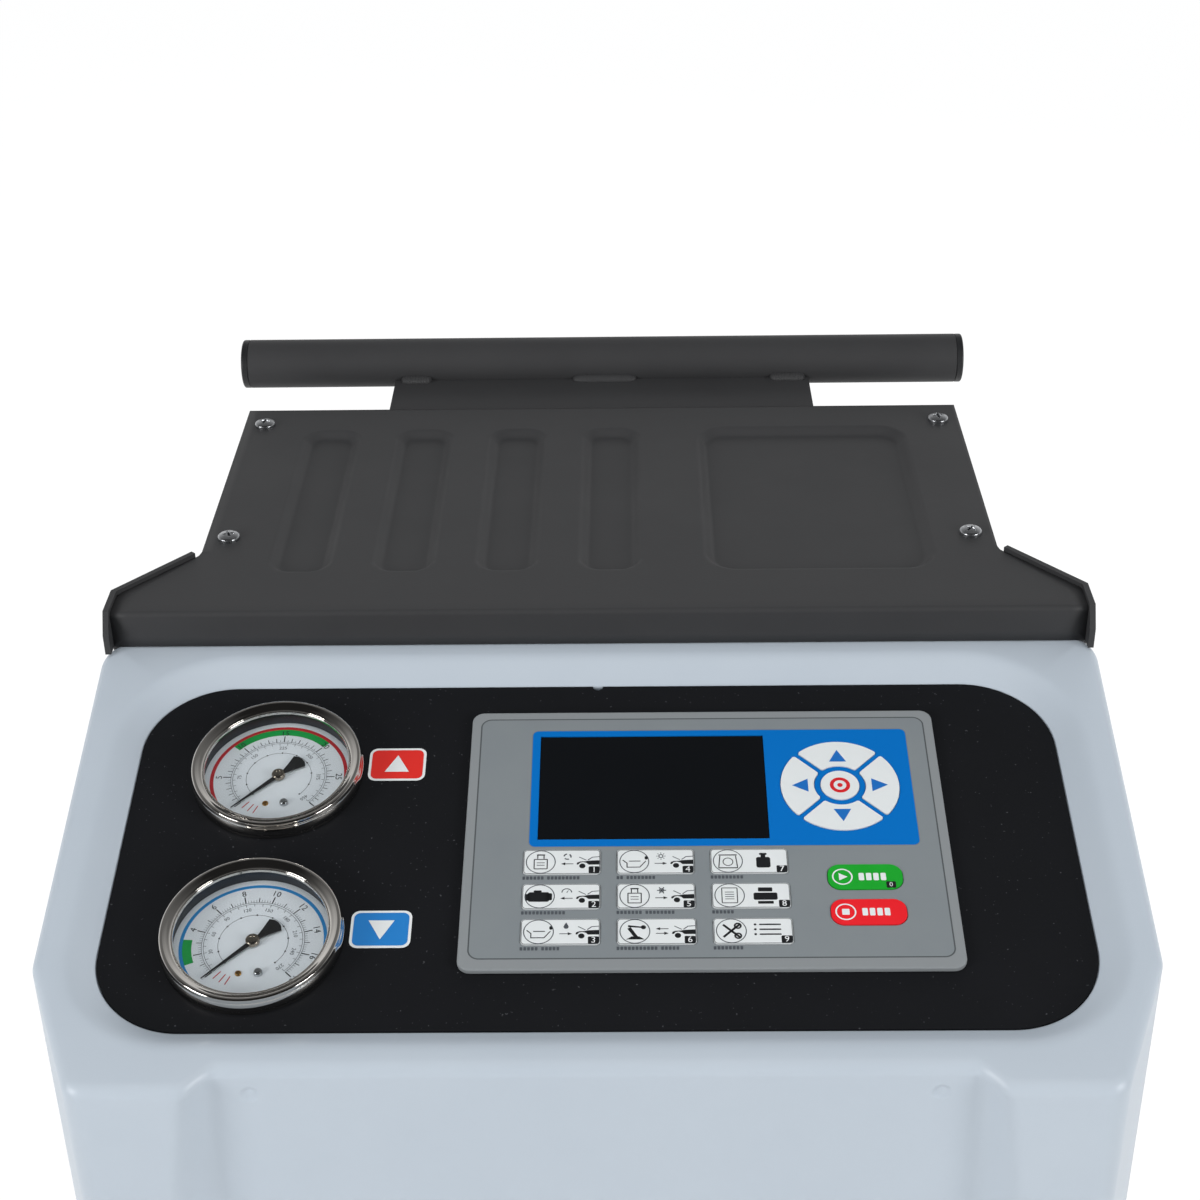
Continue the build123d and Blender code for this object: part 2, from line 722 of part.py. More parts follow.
# Display window: dark clear plate held by a rim from behind
with BuildPart() as display_window:
    with BuildSketch(on_slope(keypad_face.offset(-DISPLAY_STEP), DISPLAY_X, DISPLAY_S)):
        Rectangle(DISPLAY_WIDTH, DISPLAY_LENGTH)
    extrude(amount=-KEYPAD_THICK + DISPLAY_STEP)
    with BuildSketch(on_slope(panel_face, DISPLAY_X, DISPLAY_S)):
        Rectangle(DISPLAY_WIDTH + DISPLAY_RIM, DISPLAY_LENGTH)
    extrude(amount=-DISPLAY_FLANGE)
finish(display_window, "display_window")

# Controller board: circuit board on four posts, with the display module and a switch per key
board_face = panel_face.offset(-BOARD_DEPTH)
board_back = board_face.offset(-BOARD_THICK)
with BuildPart() as controller_board:
    with BuildSketch(on_slope(board_back, BOARD_X, CUTOUT_S)):
        RectangleRounded(BOARD_WIDTH, BOARD_LENGTH, BOARD_POST_R)
    extrude(amount=BOARD_THICK)
    with BuildSketch(on_slope(board_back, BOARD_X, CUTOUT_S)):
        with GridLocations(
            BOARD_WIDTH - 2 * BOARD_POST_INSET, BOARD_LENGTH - 2 * BOARD_POST_INSET, 2, 2
        ):
            Circle(BOARD_POST_R)
    extrude(amount=BOARD_THICK + BOARD_DEPTH - PANEL_THICK)
    with BuildSketch(on_slope(board_back, DISPLAY_X, DISPLAY_S)):
        Rectangle(DISPLAY_WIDTH + DISPLAY_RIM, DISPLAY_LENGTH + DISPLAY_RIM)
    extrude(amount=BOARD_THICK + BOARD_DEPTH - DISPLAY_FLANGE - COVER_JOINT)
    for name, (outline, place) in keys.items():
        out = (NAV_R + NAV_INNER_R) / 2 if name.startswith("arrow") else 0
        with BuildSketch(on_slope(board_back, *place)):
            with Locations((0, out)):
                Circle(SWITCH_R)
        extrude(amount=BOARD_THICK + BOARD_DEPTH + key_foot - KEY_TRAVEL - SWITCH_GAP)
finish(controller_board, "controller_board")


# Side panels: bent sheet with a front pillar, top and rear flanges and the raised cheek
cheek_slope = (CHEEK_END_Y - CHEEK_BEND_Y) / (CHEEK_HALF - CHEEK_END_X)
pillar_end_y = CHEEK_BEND_Y + cheek_slope * (CHEEK_HALF - SIDE_HALF)
with BuildPart() as right_side_panel:
    with BuildSketch(Plane.XY.offset(FLOOR_TOP_Z)):
        with BuildLine():
            Polyline(
                (FLANGE_HALF, COVER_REAR_Y + PLATE / 2),
                (CHEEK_HALF - PLATE / 2, COVER_REAR_Y + PLATE / 2),
                (CHEEK_HALF - PLATE / 2, CHEEK_BEND_Y),
                (SIDE_HALF - PLATE / 2, pillar_end_y),
                (SIDE_HALF - PLATE / 2, SIDE_REAR_Y - PLATE / 2),
                (SIDE_HALF - FLANGE, SIDE_REAR_Y - PLATE / 2),
            )
        trace(line_width=PLATE)
    extrude(amount=TRAY_UNDER_Z - FLOOR_TOP_Z - CHEEK_SHEET)
    # Top flange under the tray, with its screw holes
    with BuildSketch(Plane.XY.offset(TRAY_UNDER_Z)) as top_flange:
        with BuildLine():
            Polyline(
                (SIDE_HALF - FLANGE, SIDE_REAR_Y),
                (SIDE_HALF, SIDE_REAR_Y),
                (SIDE_HALF, pillar_end_y),
                (CHEEK_HALF - CHEEK_SHEET, CHEEK_BEND_Y),
                (CHEEK_HALF - CHEEK_SHEET, COVER_REAR_Y + 1),
                (CHEEK_HALF - FLANGE, COVER_REAR_Y + 1),
                (SIDE_HALF - FLANGE, pillar_end_y - FLANGE),
                close=True,
            )
        make_face()
        with Locations(*[(SCREW_SPAN_X / 2, SCREW_Y + k * SCREW_SPAN_Y / 2) for k in (-1, 1)]):
            Circle(SCREW_HOLE_R, mode=Mode.SUBTRACT)
    extrude(amount=-CHEEK_SHEET)
    # Cheek: heavier sheet that stands above the tray and laps over the cover in front
    with BuildSketch(Plane.XY.offset(LIP_BASE_Z)):
        with BuildLine():
            Polyline(
                (CHEEK_HALF - CHEEK_SHEET / 2, CHEEK_FRONT_Y),
                (CHEEK_HALF - CHEEK_SHEET / 2, CHEEK_BEND_Y),
                (CHEEK_END_X - CHEEK_SHEET / 2, CHEEK_END_Y),
            )
        trace(line_width=CHEEK_SHEET)
    extrude(amount=TRAY_TOP_Z + CHEEK_RISE - LIP_BASE_Z)
    front_edges = right_side_panel.edges().filter_by(Axis.X).group_by(Axis.Y)[0]
    chamfer(
        front_edges.sort_by(Axis.Z)[-1],
        CHEEK_CUT_LENGTH,
        CHEEK_CUT_HEIGHT,
        reference=right_side_panel.faces().sort_by(Axis.Z)[-1],
    )
finish(right_side_panel, "right_side_panel")

with BuildPart() as left_side_panel:
    mirror(right_side_panel.part, about=Plane.YZ)
finish(left_side_panel, "left_side_panel")

# Tool tray: one pressed sheet with a front lip, four slots and a pocket
inner_half = CHEEK_HALF - CHEEK_SHEET
inner_end_x = CHEEK_END_X - CHEEK_SHEET - 1
with BuildPart() as top_tray:
    with BuildSketch(Plane.XY.offset(TRAY_TOP_Z)) as tray_plan:
        with BuildLine():
            Polyline(
                (-TRAY_HALF, TRAY_REAR_Y),
                (TRAY_HALF, TRAY_REAR_Y),
                (TRAY_HALF, TRAY_NOTCH_Y),
                (inner_end_x, CHEEK_END_Y - 1),
                (inner_half, CHEEK_BEND_Y - 1),
                (inner_half, LIP_Y),
                (-inner_half, LIP_Y),
                (-inner_half, CHEEK_BEND_Y - 1),
                (-inner_end_x, CHEEK_END_Y - 1),
                (-TRAY_HALF, TRAY_NOTCH_Y),
                close=True,
            )
        make_face()
        with Locations((0, SCREW_Y)):
            with GridLocations(SCREW_SPAN_X, SCREW_SPAN_Y, 2, 2):
                Circle(SCREW_HOLE_R, mode=Mode.SUBTRACT)
    extrude(amount=-SHEET)
    with BuildSketch(Plane.XY.offset(TRAY_TOP_Z)):
        with Locations((0, LIP_Y + SHEET / 2)):
            Rectangle(2 * inner_half, SHEET)
    extrude(amount=LIP_BASE_Z - TRAY_TOP_Z)
    bend = top_tray.edges().filter_by(Axis.X).filter_by(lambda e: e.center().Y < LIP_Y + 0.1)
    fillet(bend.sort_by(Axis.Z)[-1], LIP_BEND_R)
    for grow, mode in ((SHEET, Mode.ADD), (0, Mode.SUBTRACT)):
        with BuildSketch(Plane.XY.offset(TRAY_TOP_Z - grow)):
            with Locations((SLOT_X, POCKET_Y)):
                with GridLocations(SLOT_PITCH, 1, SLOT_COUNT, 1):
                    RectangleRounded(SLOT_WIDTH + grow, SLOT_LENGTH + grow, SLOT_R + grow / 2)
            with Locations((POCKET_X, POCKET_Y)):
                RectangleRounded(POCKET_WIDTH + grow, POCKET_LENGTH + grow, POCKET_R + grow / 2)
        extrude(amount=-POCKET_DEPTH, taper=POCKET_DRAFT, mode=mode)
finish(top_tray, "top_tray")

# Tray screws: pan heads with a cross slot
with BuildPart() as tray_screws:
    with Locations((0, SCREW_Y, TRAY_TOP_Z)):
        with GridLocations(SCREW_SPAN_X, SCREW_SPAN_Y, 2, 2):
            Cylinder(SCREW_HEAD_R, SCREW_HEAD_HEIGHT, align=(Align.CENTER, Align.CENTER, Align.MIN))
            Cylinder(SCREW_R, SCREW_LENGTH, align=(Align.CENTER, Align.CENTER, Align.MAX))
    rims = tray_screws.edges().filter_by(GeomType.CIRCLE).group_by(Axis.Z)[-1]
    fillet(rims, SCREW_HEAD_HEIGHT * 0.6)
    with Locations((0, SCREW_Y, TRAY_TOP_Z + SCREW_HEAD_HEIGHT)):
        with GridLocations(SCREW_SPAN_X, SCREW_SPAN_Y, 2, 2):
            Box(SCREW_SLOT, 2 * SCREW_R, 3, mode=Mode.SUBTRACT)
            Box(2 * SCREW_R, SCREW_SLOT, 3, mode=Mode.SUBTRACT)
finish(tray_screws, "tray_screws")

# Handle: tube welded to a flat bracket that is fixed under the back of the tray
with BuildPart() as tray_handle:
    with BuildSketch(Plane.YZ.offset(-HANDLE_LENGTH / 2)):
        with Locations((HANDLE_Y, HANDLE_Z)):
            Circle(HANDLE_R)
    extrude(amount=HANDLE_LENGTH)
    with BuildSketch(Plane.XY.offset(TRAY_UNDER_Z)):
        with Locations((0, (BRACKET_FRONT_Y + HANDLE_Y) / 2)):
            Rectangle(2 * BRACKET_HALF, HANDLE_Y - BRACKET_FRONT_Y)
    extrude(amount=-BRACKET_THICK)
    with BuildSketch(Plane.YZ.offset(-HANDLE_LENGTH / 2)):
        with Locations((HANDLE_Y, HANDLE_Z)):
            Circle(HANDLE_R - HANDLE_WALL)
    extrude(amount=HANDLE_LENGTH, mode=Mode.SUBTRACT)
finish(tray_handle, "tray_handle")

with BuildPart() as handle_end_caps:
    for end in (-1, 1):
        with BuildSketch(Plane.YZ.offset(end * HANDLE_LENGTH / 2)):
            with Locations((HANDLE_Y, HANDLE_Z)):
                Circle(HANDLE_R)
        extrude(amount=end * HANDLE_CAP)
        with BuildSketch(Plane.YZ.offset(end * HANDLE_LENGTH / 2)):
            with Locations((HANDLE_Y, HANDLE_Z)):
                Circle(HANDLE_R - HANDLE_WALL - 0.1)
        extrude(amount=-end * HANDLE_SPIGOT)
    outer_rims = handle_end_caps.edges().filter_by(GeomType.CIRCLE).group_by(Axis.X)
    fillet(outer_rims[0] + outer_rims[-1], HANDLE_CAP_EDGE)
finish(handle_end_caps, "handle_end_caps")


# Rear panel: louvred sheet screwed on the rear flanges of the side panels
rear_face = Plane.XZ.offset(-SIDE_REAR_Y)
REAR_OUT_Y = SIDE_REAR_Y + SHEET
with BuildPart() as rear_panel:
    rear_height = TRAY_UNDER_Z - CHEEK_SHEET - COVER_JOINT - FLOOR_TOP_Z - REAR_GAP
    with BuildSketch(rear_face):
        with Locations((0, FLOOR_TOP_Z + REAR_GAP + rear_height / 2)):
            RectangleRounded(2 * SIDE_HALF - 2 * REAR_GAP, rear_height, REAR_CORNER)
        with Locations((LOUVRE_X, LOUVRE_Z), (-LOUVRE_X, LOUVRE_Z)):
            with GridLocations(1, LOUVRE_PITCH, 1, LOUVRE_COUNT):
                Rectangle(LOUVRE_WIDTH - 2 * SHEET, LOUVRE_SLOT, mode=Mode.SUBTRACT)
        with Locations(*[(x, COUPLING_Z) for x in COUPLING_X]):
            Circle(COUPLING_HOLE_R, mode=Mode.SUBTRACT)
        with Locations((INLET_X, INLET_Z)):
            Rectangle(INLET_WIDTH - 2 * INLET_RIM, INLET_HEIGHT - 2 * INLET_RIM, mode=Mode.SUBTRACT)
    extrude(amount=-SHEET)
    low = -(LOUVRE_COUNT - 1) / 2 * LOUVRE_PITCH - LOUVRE_SLOT / 2
    for side_x in (-LOUVRE_X, LOUVRE_X):
        with BuildSketch(Plane.YZ.offset(side_x - LOUVRE_WIDTH / 2)):
            for index in range(LOUVRE_COUNT):
                foot = LOUVRE_Z + low + index * LOUVRE_PITCH
                with BuildLine():
                    Polyline(
                        (REAR_OUT_Y, foot + LOUVRE_RISE),
                        (REAR_OUT_Y + LOUVRE_DEPTH, foot + LOUVRE_LIP),
                        (REAR_OUT_Y + LOUVRE_DEPTH, foot),
                        (REAR_OUT_Y + LOUVRE_DEPTH - SHEET, foot),
                        (REAR_OUT_Y, foot + LOUVRE_RISE - LOUVRE_LIP - SHEET / 2),
                        close=True,
                    )
                make_face()
        extrude(amount=LOUVRE_WIDTH)
        # The ends of each pressed louvre are closed
        for end_x in (side_x - LOUVRE_WIDTH / 2, side_x + LOUVRE_WIDTH / 2 - SHEET):
            with BuildSketch(Plane.YZ.offset(end_x)):
                for index in range(LOUVRE_COUNT):
                    foot = LOUVRE_Z + low + index * LOUVRE_PITCH
                    with BuildLine():
                        Polyline(
                            (REAR_OUT_Y, foot + LOUVRE_RISE),
                            (REAR_OUT_Y + LOUVRE_DEPTH, foot + LOUVRE_LIP),
                            (REAR_OUT_Y + LOUVRE_DEPTH, foot),
                            (REAR_OUT_Y, foot),
                            close=True,
                        )
                    make_face()
            extrude(amount=SHEET)
finish(rear_panel, "rear_panel")

# Service couplings: flare nipples with a hexagon, through the rear panel
with BuildPart() as service_couplings:
    for x in COUPLING_X:
        here = Plane(origin=(x, REAR_OUT_Y, COUPLING_Z), x_dir=(-1, 0, 0), z_dir=(0, 1, 0))
        with BuildSketch(here):
            RegularPolygon(COUPLING_HEX / 2, 6, major_radius=False)
        extrude(amount=COUPLING_FLANGE)
        with BuildSketch(here.offset(COUPLING_FLANGE)):
            Circle(COUPLING_R)
        extrude(amount=COUPLING_LENGTH)
        with BuildSketch(here):
            Circle(COUPLING_HOLE_R - 0.3)
        extrude(amount=-SHEET - COUPLING_LENGTH)
    tips = service_couplings.edges().filter_by(GeomType.CIRCLE).group_by(Axis.Y)[-1]
    chamfer(tips, 1.5)
    for x in COUPLING_X:
        here = Plane(origin=(x, REAR_OUT_Y, COUPLING_Z), x_dir=(-1, 0, 0), z_dir=(0, 1, 0))
        with BuildSketch(here.offset(COUPLING_FLANGE + COUPLING_LENGTH)):
            Circle(COUPLING_BORE_R)
        extrude(amount=-COUPLING_LENGTH - COUPLING_FLANGE, mode=Mode.SUBTRACT)
finish(service_couplings, "service_couplings")

# Power inlet: housing with a three pin socket below and the rocker of the switch above
inlet_face = Plane(origin=(INLET_X, REAR_OUT_Y, INLET_Z), x_dir=(-1, 0, 0), z_dir=(0, 1, 0))
with BuildPart() as power_inlet:
    with BuildSketch(inlet_face):
        RectangleRounded(INLET_WIDTH, INLET_HEIGHT, INLET_RIM)
    extrude(amount=INLET_FACE)
    chamfer(power_inlet.faces().sort_by(Axis.Y)[-1].edges(), INLET_EDGE)
    with BuildSketch(inlet_face):
        Rectangle(
            INLET_WIDTH - 2 * (INLET_RIM + INLET_GAP), INLET_HEIGHT - 2 * (INLET_RIM + INLET_GAP)
        )
    extrude(amount=-INLET_BODY + INLET_FACE)
    with BuildSketch(inlet_face.offset(INLET_FACE)):
        with Locations((0, SOCKET_Z)):
            Rectangle(SOCKET_WIDTH, SOCKET_HEIGHT)
    extrude(amount=-SOCKET_DEPTH, mode=Mode.SUBTRACT)
    with BuildSketch(inlet_face.offset(INLET_FACE - SOCKET_DEPTH)):
        with Locations((-PIN_SPREAD, SOCKET_Z + 1), (PIN_SPREAD, SOCKET_Z + 1)):
            Rectangle(2, 4)
        with Locations((0, SOCKET_Z + 5)):
            Rectangle(2, 4)
    extrude(amount=PIN_LENGTH)
    with BuildSketch(inlet_face.offset(INLET_FACE)):
        with Locations((0, ROCKER_Z)):
            Rectangle(ROCKER_WIDTH + 2 * ROCKER_GAP, 2 * ROCKER_HALF + 2 * ROCKER_GAP)
    extrude(amount=-ROCKER_PIVOT_DEPTH - 9, mode=Mode.SUBTRACT)
    with BuildSketch(Plane.YZ.offset(INLET_X - ROCKER_WIDTH / 2 - ROCKER_GAP)):
        with Locations((REAR_OUT_Y + INLET_FACE - ROCKER_PIVOT_DEPTH, INLET_Z + ROCKER_Z)):
            Circle(ROCKER_PIN_R)
    extrude(amount=ROCKER_WIDTH + 2 * ROCKER_GAP)
finish(power_inlet, "power_inlet")

with BuildPart() as rocker_switch:
    rocker_plane = Plane(
        Plane.YZ.offset(INLET_X - ROCKER_WIDTH / 2).location
        * Location((REAR_OUT_Y + INLET_FACE - ROCKER_PIVOT_DEPTH, INLET_Z + ROCKER_Z, 0),
                   (0, 0, ROCKER_TILT))
    )
    with BuildSketch(rocker_plane):
        with BuildLine():
            Polyline(
                (-3.5, -ROCKER_HALF + 3),
                (2, -ROCKER_HALF),
                (5.4, -ROCKER_HALF + 0.3),
                (3.4, 0),
                (5.4, ROCKER_HALF - 0.3),
                (2, ROCKER_HALF),
                (-3.5, ROCKER_HALF - 3),
                close=True,
            )
        make_face()
        Circle(ROCKER_PIN_R + ROCKER_PIN_GAP, mode=Mode.SUBTRACT)
    extrude(amount=ROCKER_WIDTH)
finish(rocker_switch, "rocker_switch")


# Chassis: folded pan with skirts below, ears for the axle and a rear apron
with BuildPart() as base_chassis:
    for drop, grow in ((PLATE, 0), (CHASSIS_SKIRT + PLATE, PLATE)):
        with BuildSketch(Plane.XY.offset(FLOOR_TOP_Z if not grow else FLOOR_Z)) as chassis_plan:
            with BuildLine():
                Polyline(
                    (-SIDE_HALF, SIDE_REAR_Y),
                    (SIDE_HALF, SIDE_REAR_Y),
                    (SIDE_HALF, pillar_end_y),
                    (CHEEK_HALF, CHEEK_BEND_Y),
                    (CHEEK_HALF, COVER_REAR_Y),
                    (CHASSIS_FRONT_HALF, COVER_REAR_Y),
                    (CHASSIS_FRONT_HALF, CHASSIS_FRONT_Y),
                    (-CHASSIS_FRONT_HALF, CHASSIS_FRONT_Y),
                    (-CHASSIS_FRONT_HALF, COVER_REAR_Y),
                    (-CHEEK_HALF, COVER_REAR_Y),
                    (-CHEEK_HALF, CHEEK_BEND_Y),
                    (-SIDE_HALF, pillar_end_y),
                    close=True,
                )
            make_face()
            if grow:
                offset(amount=-PLATE, mode=Mode.SUBTRACT)
        extrude(amount=-PLATE if not grow else -CHASSIS_SKIRT)
    for side_x in (-AXLE_EAR_X, AXLE_EAR_X):
        with BuildSketch(Plane.YZ.offset(side_x - AXLE_EAR / 2)):
            with Locations((AXLE_Y, (FLOOR_Z + WHEEL_R - AXLE_EAR_BELOW) / 2)):
                Rectangle(AXLE_EAR_WIDTH, FLOOR_Z - WHEEL_R + AXLE_EAR_BELOW)
            with Locations((AXLE_Y, WHEEL_R)):
                Circle(AXLE_R + SEAT_GAP, mode=Mode.SUBTRACT)
        extrude(amount=AXLE_EAR)
finish(base_chassis, "base_chassis")

# Rear axle, its caps and the two rear wheels
AXLE_HALF = WHEEL_OUTER_X - 3.0
with BuildPart() as rear_axle:
    with BuildSketch(Plane.YZ.offset(-AXLE_HALF)):
        with Locations((AXLE_Y, WHEEL_R)):
            Circle(AXLE_R)
    extrude(amount=2 * AXLE_HALF)
finish(rear_axle, "rear_axle")

with BuildPart() as axle_caps:
    for end in (-1, 1):
        with BuildSketch(Plane.YZ.offset(end * (AXLE_HALF + 1.5))):
            with Locations((AXLE_Y, WHEEL_R)):
                Circle(AXLE_CAP_R)
        extrude(amount=-end * AXLE_CAP_THICK)
        with BuildSketch(Plane.YZ.offset(end * AXLE_HALF)):
            with Locations((AXLE_Y, WHEEL_R)):
                Circle(AXLE_R + SEAT_GAP)
        extrude(amount=-end * AXLE_CAP_THICK, mode=Mode.SUBTRACT)
finish(axle_caps, "axle_caps")

hub_outer = AXLE_HALF + 1.5 - AXLE_CAP_THICK - WHEEL_SIDE_GAP
with BuildPart() as right_rear_wheel:
    with BuildSketch(Plane.XY.offset(WHEEL_R)):
        middle = (WHEEL_INNER_X + WHEEL_OUTER_X) / 2
        with BuildLine():
            Polyline(
                (WHEEL_INNER_X, AXLE_Y + AXLE_R + AXLE_GAP),
                (hub_outer, AXLE_Y + AXLE_R + AXLE_GAP),
                (hub_outer, AXLE_Y + WHEEL_HUB_R),
                (middle + WHEEL_WEB / 2, AXLE_Y + WHEEL_HUB_R),
                (middle + WHEEL_WEB / 2, AXLE_Y + WHEEL_RIM_R),
                (WHEEL_OUTER_X, AXLE_Y + WHEEL_RIM_R + 3),
                (WHEEL_OUTER_X, AXLE_Y + WHEEL_R - WHEEL_TREAD_R),
                (WHEEL_OUTER_X - WHEEL_TREAD_R, AXLE_Y + WHEEL_R),
                (WHEEL_INNER_X + WHEEL_TREAD_R, AXLE_Y + WHEEL_R),
                (WHEEL_INNER_X, AXLE_Y + WHEEL_R - WHEEL_TREAD_R),
                (WHEEL_INNER_X, AXLE_Y + WHEEL_RIM_R + 3),
                (middle - WHEEL_WEB / 2, AXLE_Y + WHEEL_RIM_R),
                (middle - WHEEL_WEB / 2, AXLE_Y + WHEEL_HUB_R),
                (WHEEL_INNER_X, AXLE_Y + WHEEL_HUB_R),
                close=True,
            )
        make_face()
    revolve(axis=Axis((0, AXLE_Y, WHEEL_R), (1, 0, 0)))
    with BuildSketch(Plane.YZ.offset(WHEEL_INNER_X)):
        with Locations((AXLE_Y, WHEEL_R)):
            with PolarLocations((WHEEL_RIM_R + WHEEL_HUB_R) / 2, WHEEL_HOLES):
                Circle(WHEEL_HOLE_R)
    extrude(amount=WHEEL_WIDTH, mode=Mode.SUBTRACT)
finish(right_rear_wheel, "right_rear_wheel")

with BuildPart() as left_rear_wheel:
    mirror(right_rear_wheel.part, about=Plane.YZ)
finish(left_rear_wheel, "left_rear_wheel")

# Front casters: fixed plate with raceway, swivelling fork with riveted axle, and wheel
race_z = FLOOR_Z - CASTER_PLATE_THICK
crown_z = race_z - CASTER_RACE - CASTER_GAP
leg_x = CASTER_WIDTH / 2 + CASTER_SIDE_GAP
wheel_y = CASTER_Y + CASTER_TRAIL
with BuildPart() as caster_plates:
    for side_x in (-CASTER_X, CASTER_X):
        with BuildSketch(Plane.XY.offset(FLOOR_Z)):
            with Locations((side_x, CASTER_Y)):
                RectangleRounded(CASTER_PLATE_WIDTH, CASTER_PLATE_LENGTH, 6)
        extrude(amount=-CASTER_PLATE_THICK)
        with BuildSketch(Plane.XY.offset(race_z)):
            with Locations((side_x, CASTER_Y)):
                Circle(CASTER_RACE_R)
        extrude(amount=-CASTER_RACE)
        with BuildSketch(Plane.XY.offset(race_z - CASTER_RACE)):
            with Locations((side_x, CASTER_Y)):
                Circle(CASTER_PIVOT_R)
        extrude(amount=-2 * CASTER_GAP - CASTER_CROWN)
        with BuildSketch(Plane.XY.offset(crown_z - CASTER_CROWN - CASTER_GAP)):
            with Locations((side_x, CASTER_Y)):
                Circle(CASTER_PIVOT_HEAD_R)
        extrude(amount=-CASTER_PIVOT_HEAD)
finish(caster_plates, "caster_plates")


def caster(side, side_x):
    """One swivelling fork and its wheel, trailing behind the swivel."""
    with BuildPart() as fork:
        with BuildSketch(Plane.XY.offset(crown_z)):
            with Locations((side_x, CASTER_Y)):
                Circle(CASTER_RACE_R)
            with Locations((side_x, CASTER_Y + CASTER_TRAIL / 4)):
                Rectangle(2 * leg_x + 2 * CASTER_LEG, CASTER_RACE_R + CASTER_TRAIL / 2)
            with Locations((side_x, CASTER_Y)):
                Circle(CASTER_PIVOT_R + RUNNING_GAP, mode=Mode.SUBTRACT)
        extrude(amount=-CASTER_CROWN)
        for hand in (-1, 1):
            with BuildSketch(Plane.YZ.offset(side_x + hand * (leg_x + CASTER_LEG / 2) - CASTER_LEG / 2)):
                with BuildLine():
                    Polyline(
                        (CASTER_Y - CASTER_RACE_R * 0.6, crown_z),
                        (CASTER_Y + CASTER_RACE_R, crown_z),
                        (wheel_y + 10, CASTER_R),
                        (wheel_y + 6, CASTER_R - 11),
                        (wheel_y - 6, CASTER_R - 11),
                        (wheel_y - 10, CASTER_R),
                        close=True,
                    )
                make_face()
            extrude(amount=CASTER_LEG)
        with BuildSketch(Plane.YZ.offset(side_x - leg_x - CASTER_LEG)):
            with Locations((wheel_y, CASTER_R)):
                Circle(CASTER_AXLE_R)
        extrude(amount=2 * leg_x + 2 * CASTER_LEG)
    finish(fork, f"{side}_caster_fork")

    half = CASTER_WIDTH / 2
    with BuildPart() as wheel:
        with BuildSketch(Plane.XY.offset(CASTER_R)):
            with BuildLine():
                Polyline(
                    (side_x - half, wheel_y + CASTER_AXLE_R + RUNNING_GAP),
                    (side_x + half, wheel_y + CASTER_AXLE_R + RUNNING_GAP),
                    (side_x + half, wheel_y + 14),
                    (side_x + half - 4, wheel_y + 16),
                    (side_x + half - 4, wheel_y + CASTER_R - 14),
                    (side_x + half, wheel_y + CASTER_R - 12),
                    (side_x + half, wheel_y + CASTER_R - 4),
                    (side_x + half - 4, wheel_y + CASTER_R),
                    (side_x - half + 4, wheel_y + CASTER_R),
                    (side_x - half, wheel_y + CASTER_R - 4),
                    (side_x - half, wheel_y + CASTER_R - 12),
                    (side_x - half + 4, wheel_y + CASTER_R - 14),
                    (side_x - half + 4, wheel_y + 16),
                    (side_x - half, wheel_y + 14),
                    close=True,
                )
            make_face()
        revolve(axis=Axis((side_x, wheel_y, CASTER_R), (1, 0, 0)))
    finish(wheel, f"{side}_caster_wheel")


caster("left", -CASTER_X)
caster("right", CASTER_X)

# Equipment plate: upright sheet between the front and rear halves, on the chassis floor
with BuildPart() as equipment_plate:
    with BuildSketch(Plane.XZ.offset(-EQUIPMENT_Y)):
        with Locations((0, (FLOOR_TOP_Z + EQUIPMENT_TOP_Z) / 2)):
            Rectangle(2 * EQUIPMENT_HALF, EQUIPMENT_TOP_Z - FLOOR_TOP_Z)
        with Locations((-EQUIPMENT_HALF / 3, CONDENSER_Z)):
            RectangleRounded(EQUIPMENT_HALF / 2, EQUIPMENT_HALF / 4, 10, mode=Mode.SUBTRACT)
    extrude(amount=PLATE)
    with BuildSketch(Plane.XY.offset(FLOOR_TOP_Z)):
        with Locations((0, EQUIPMENT_Y - EQUIPMENT_FOOT / 2)):
            Rectangle(2 * EQUIPMENT_HALF, EQUIPMENT_FOOT)
    extrude(amount=PLATE)
finish(equipment_plate, "equipment_plate")
EQUIPMENT_FRONT_Y = EQUIPMENT_Y - PLATE

# Refrigerant tank on its scale
TANK_FOOT_Z = FLOOR_TOP_Z + 2 * SCALE_PLATE + SCALE_BEAM
with BuildPart() as tank_scale:
    with BuildSketch(Plane.XY.offset(FLOOR_TOP_Z)):
        with Locations((TANK_X, TANK_Y)):
            RectangleRounded(SCALE_SIZE, SCALE_SIZE, SCALE_CORNER_R)
    extrude(amount=SCALE_PLATE)
    with BuildSketch(Plane.XY.offset(FLOOR_TOP_Z + SCALE_PLATE)):
        with Locations((TANK_X, TANK_Y)):
            Rectangle(SCALE_SIZE * 0.7, SCALE_BEAM)
    extrude(amount=SCALE_BEAM)
    with BuildSketch(Plane.XY.offset(TANK_FOOT_Z)):
        with Locations((TANK_X, TANK_Y)):
            RectangleRounded(SCALE_SIZE, SCALE_SIZE, SCALE_CORNER_R)
    extrude(amount=-SCALE_PLATE)
finish(tank_scale, "tank_scale")

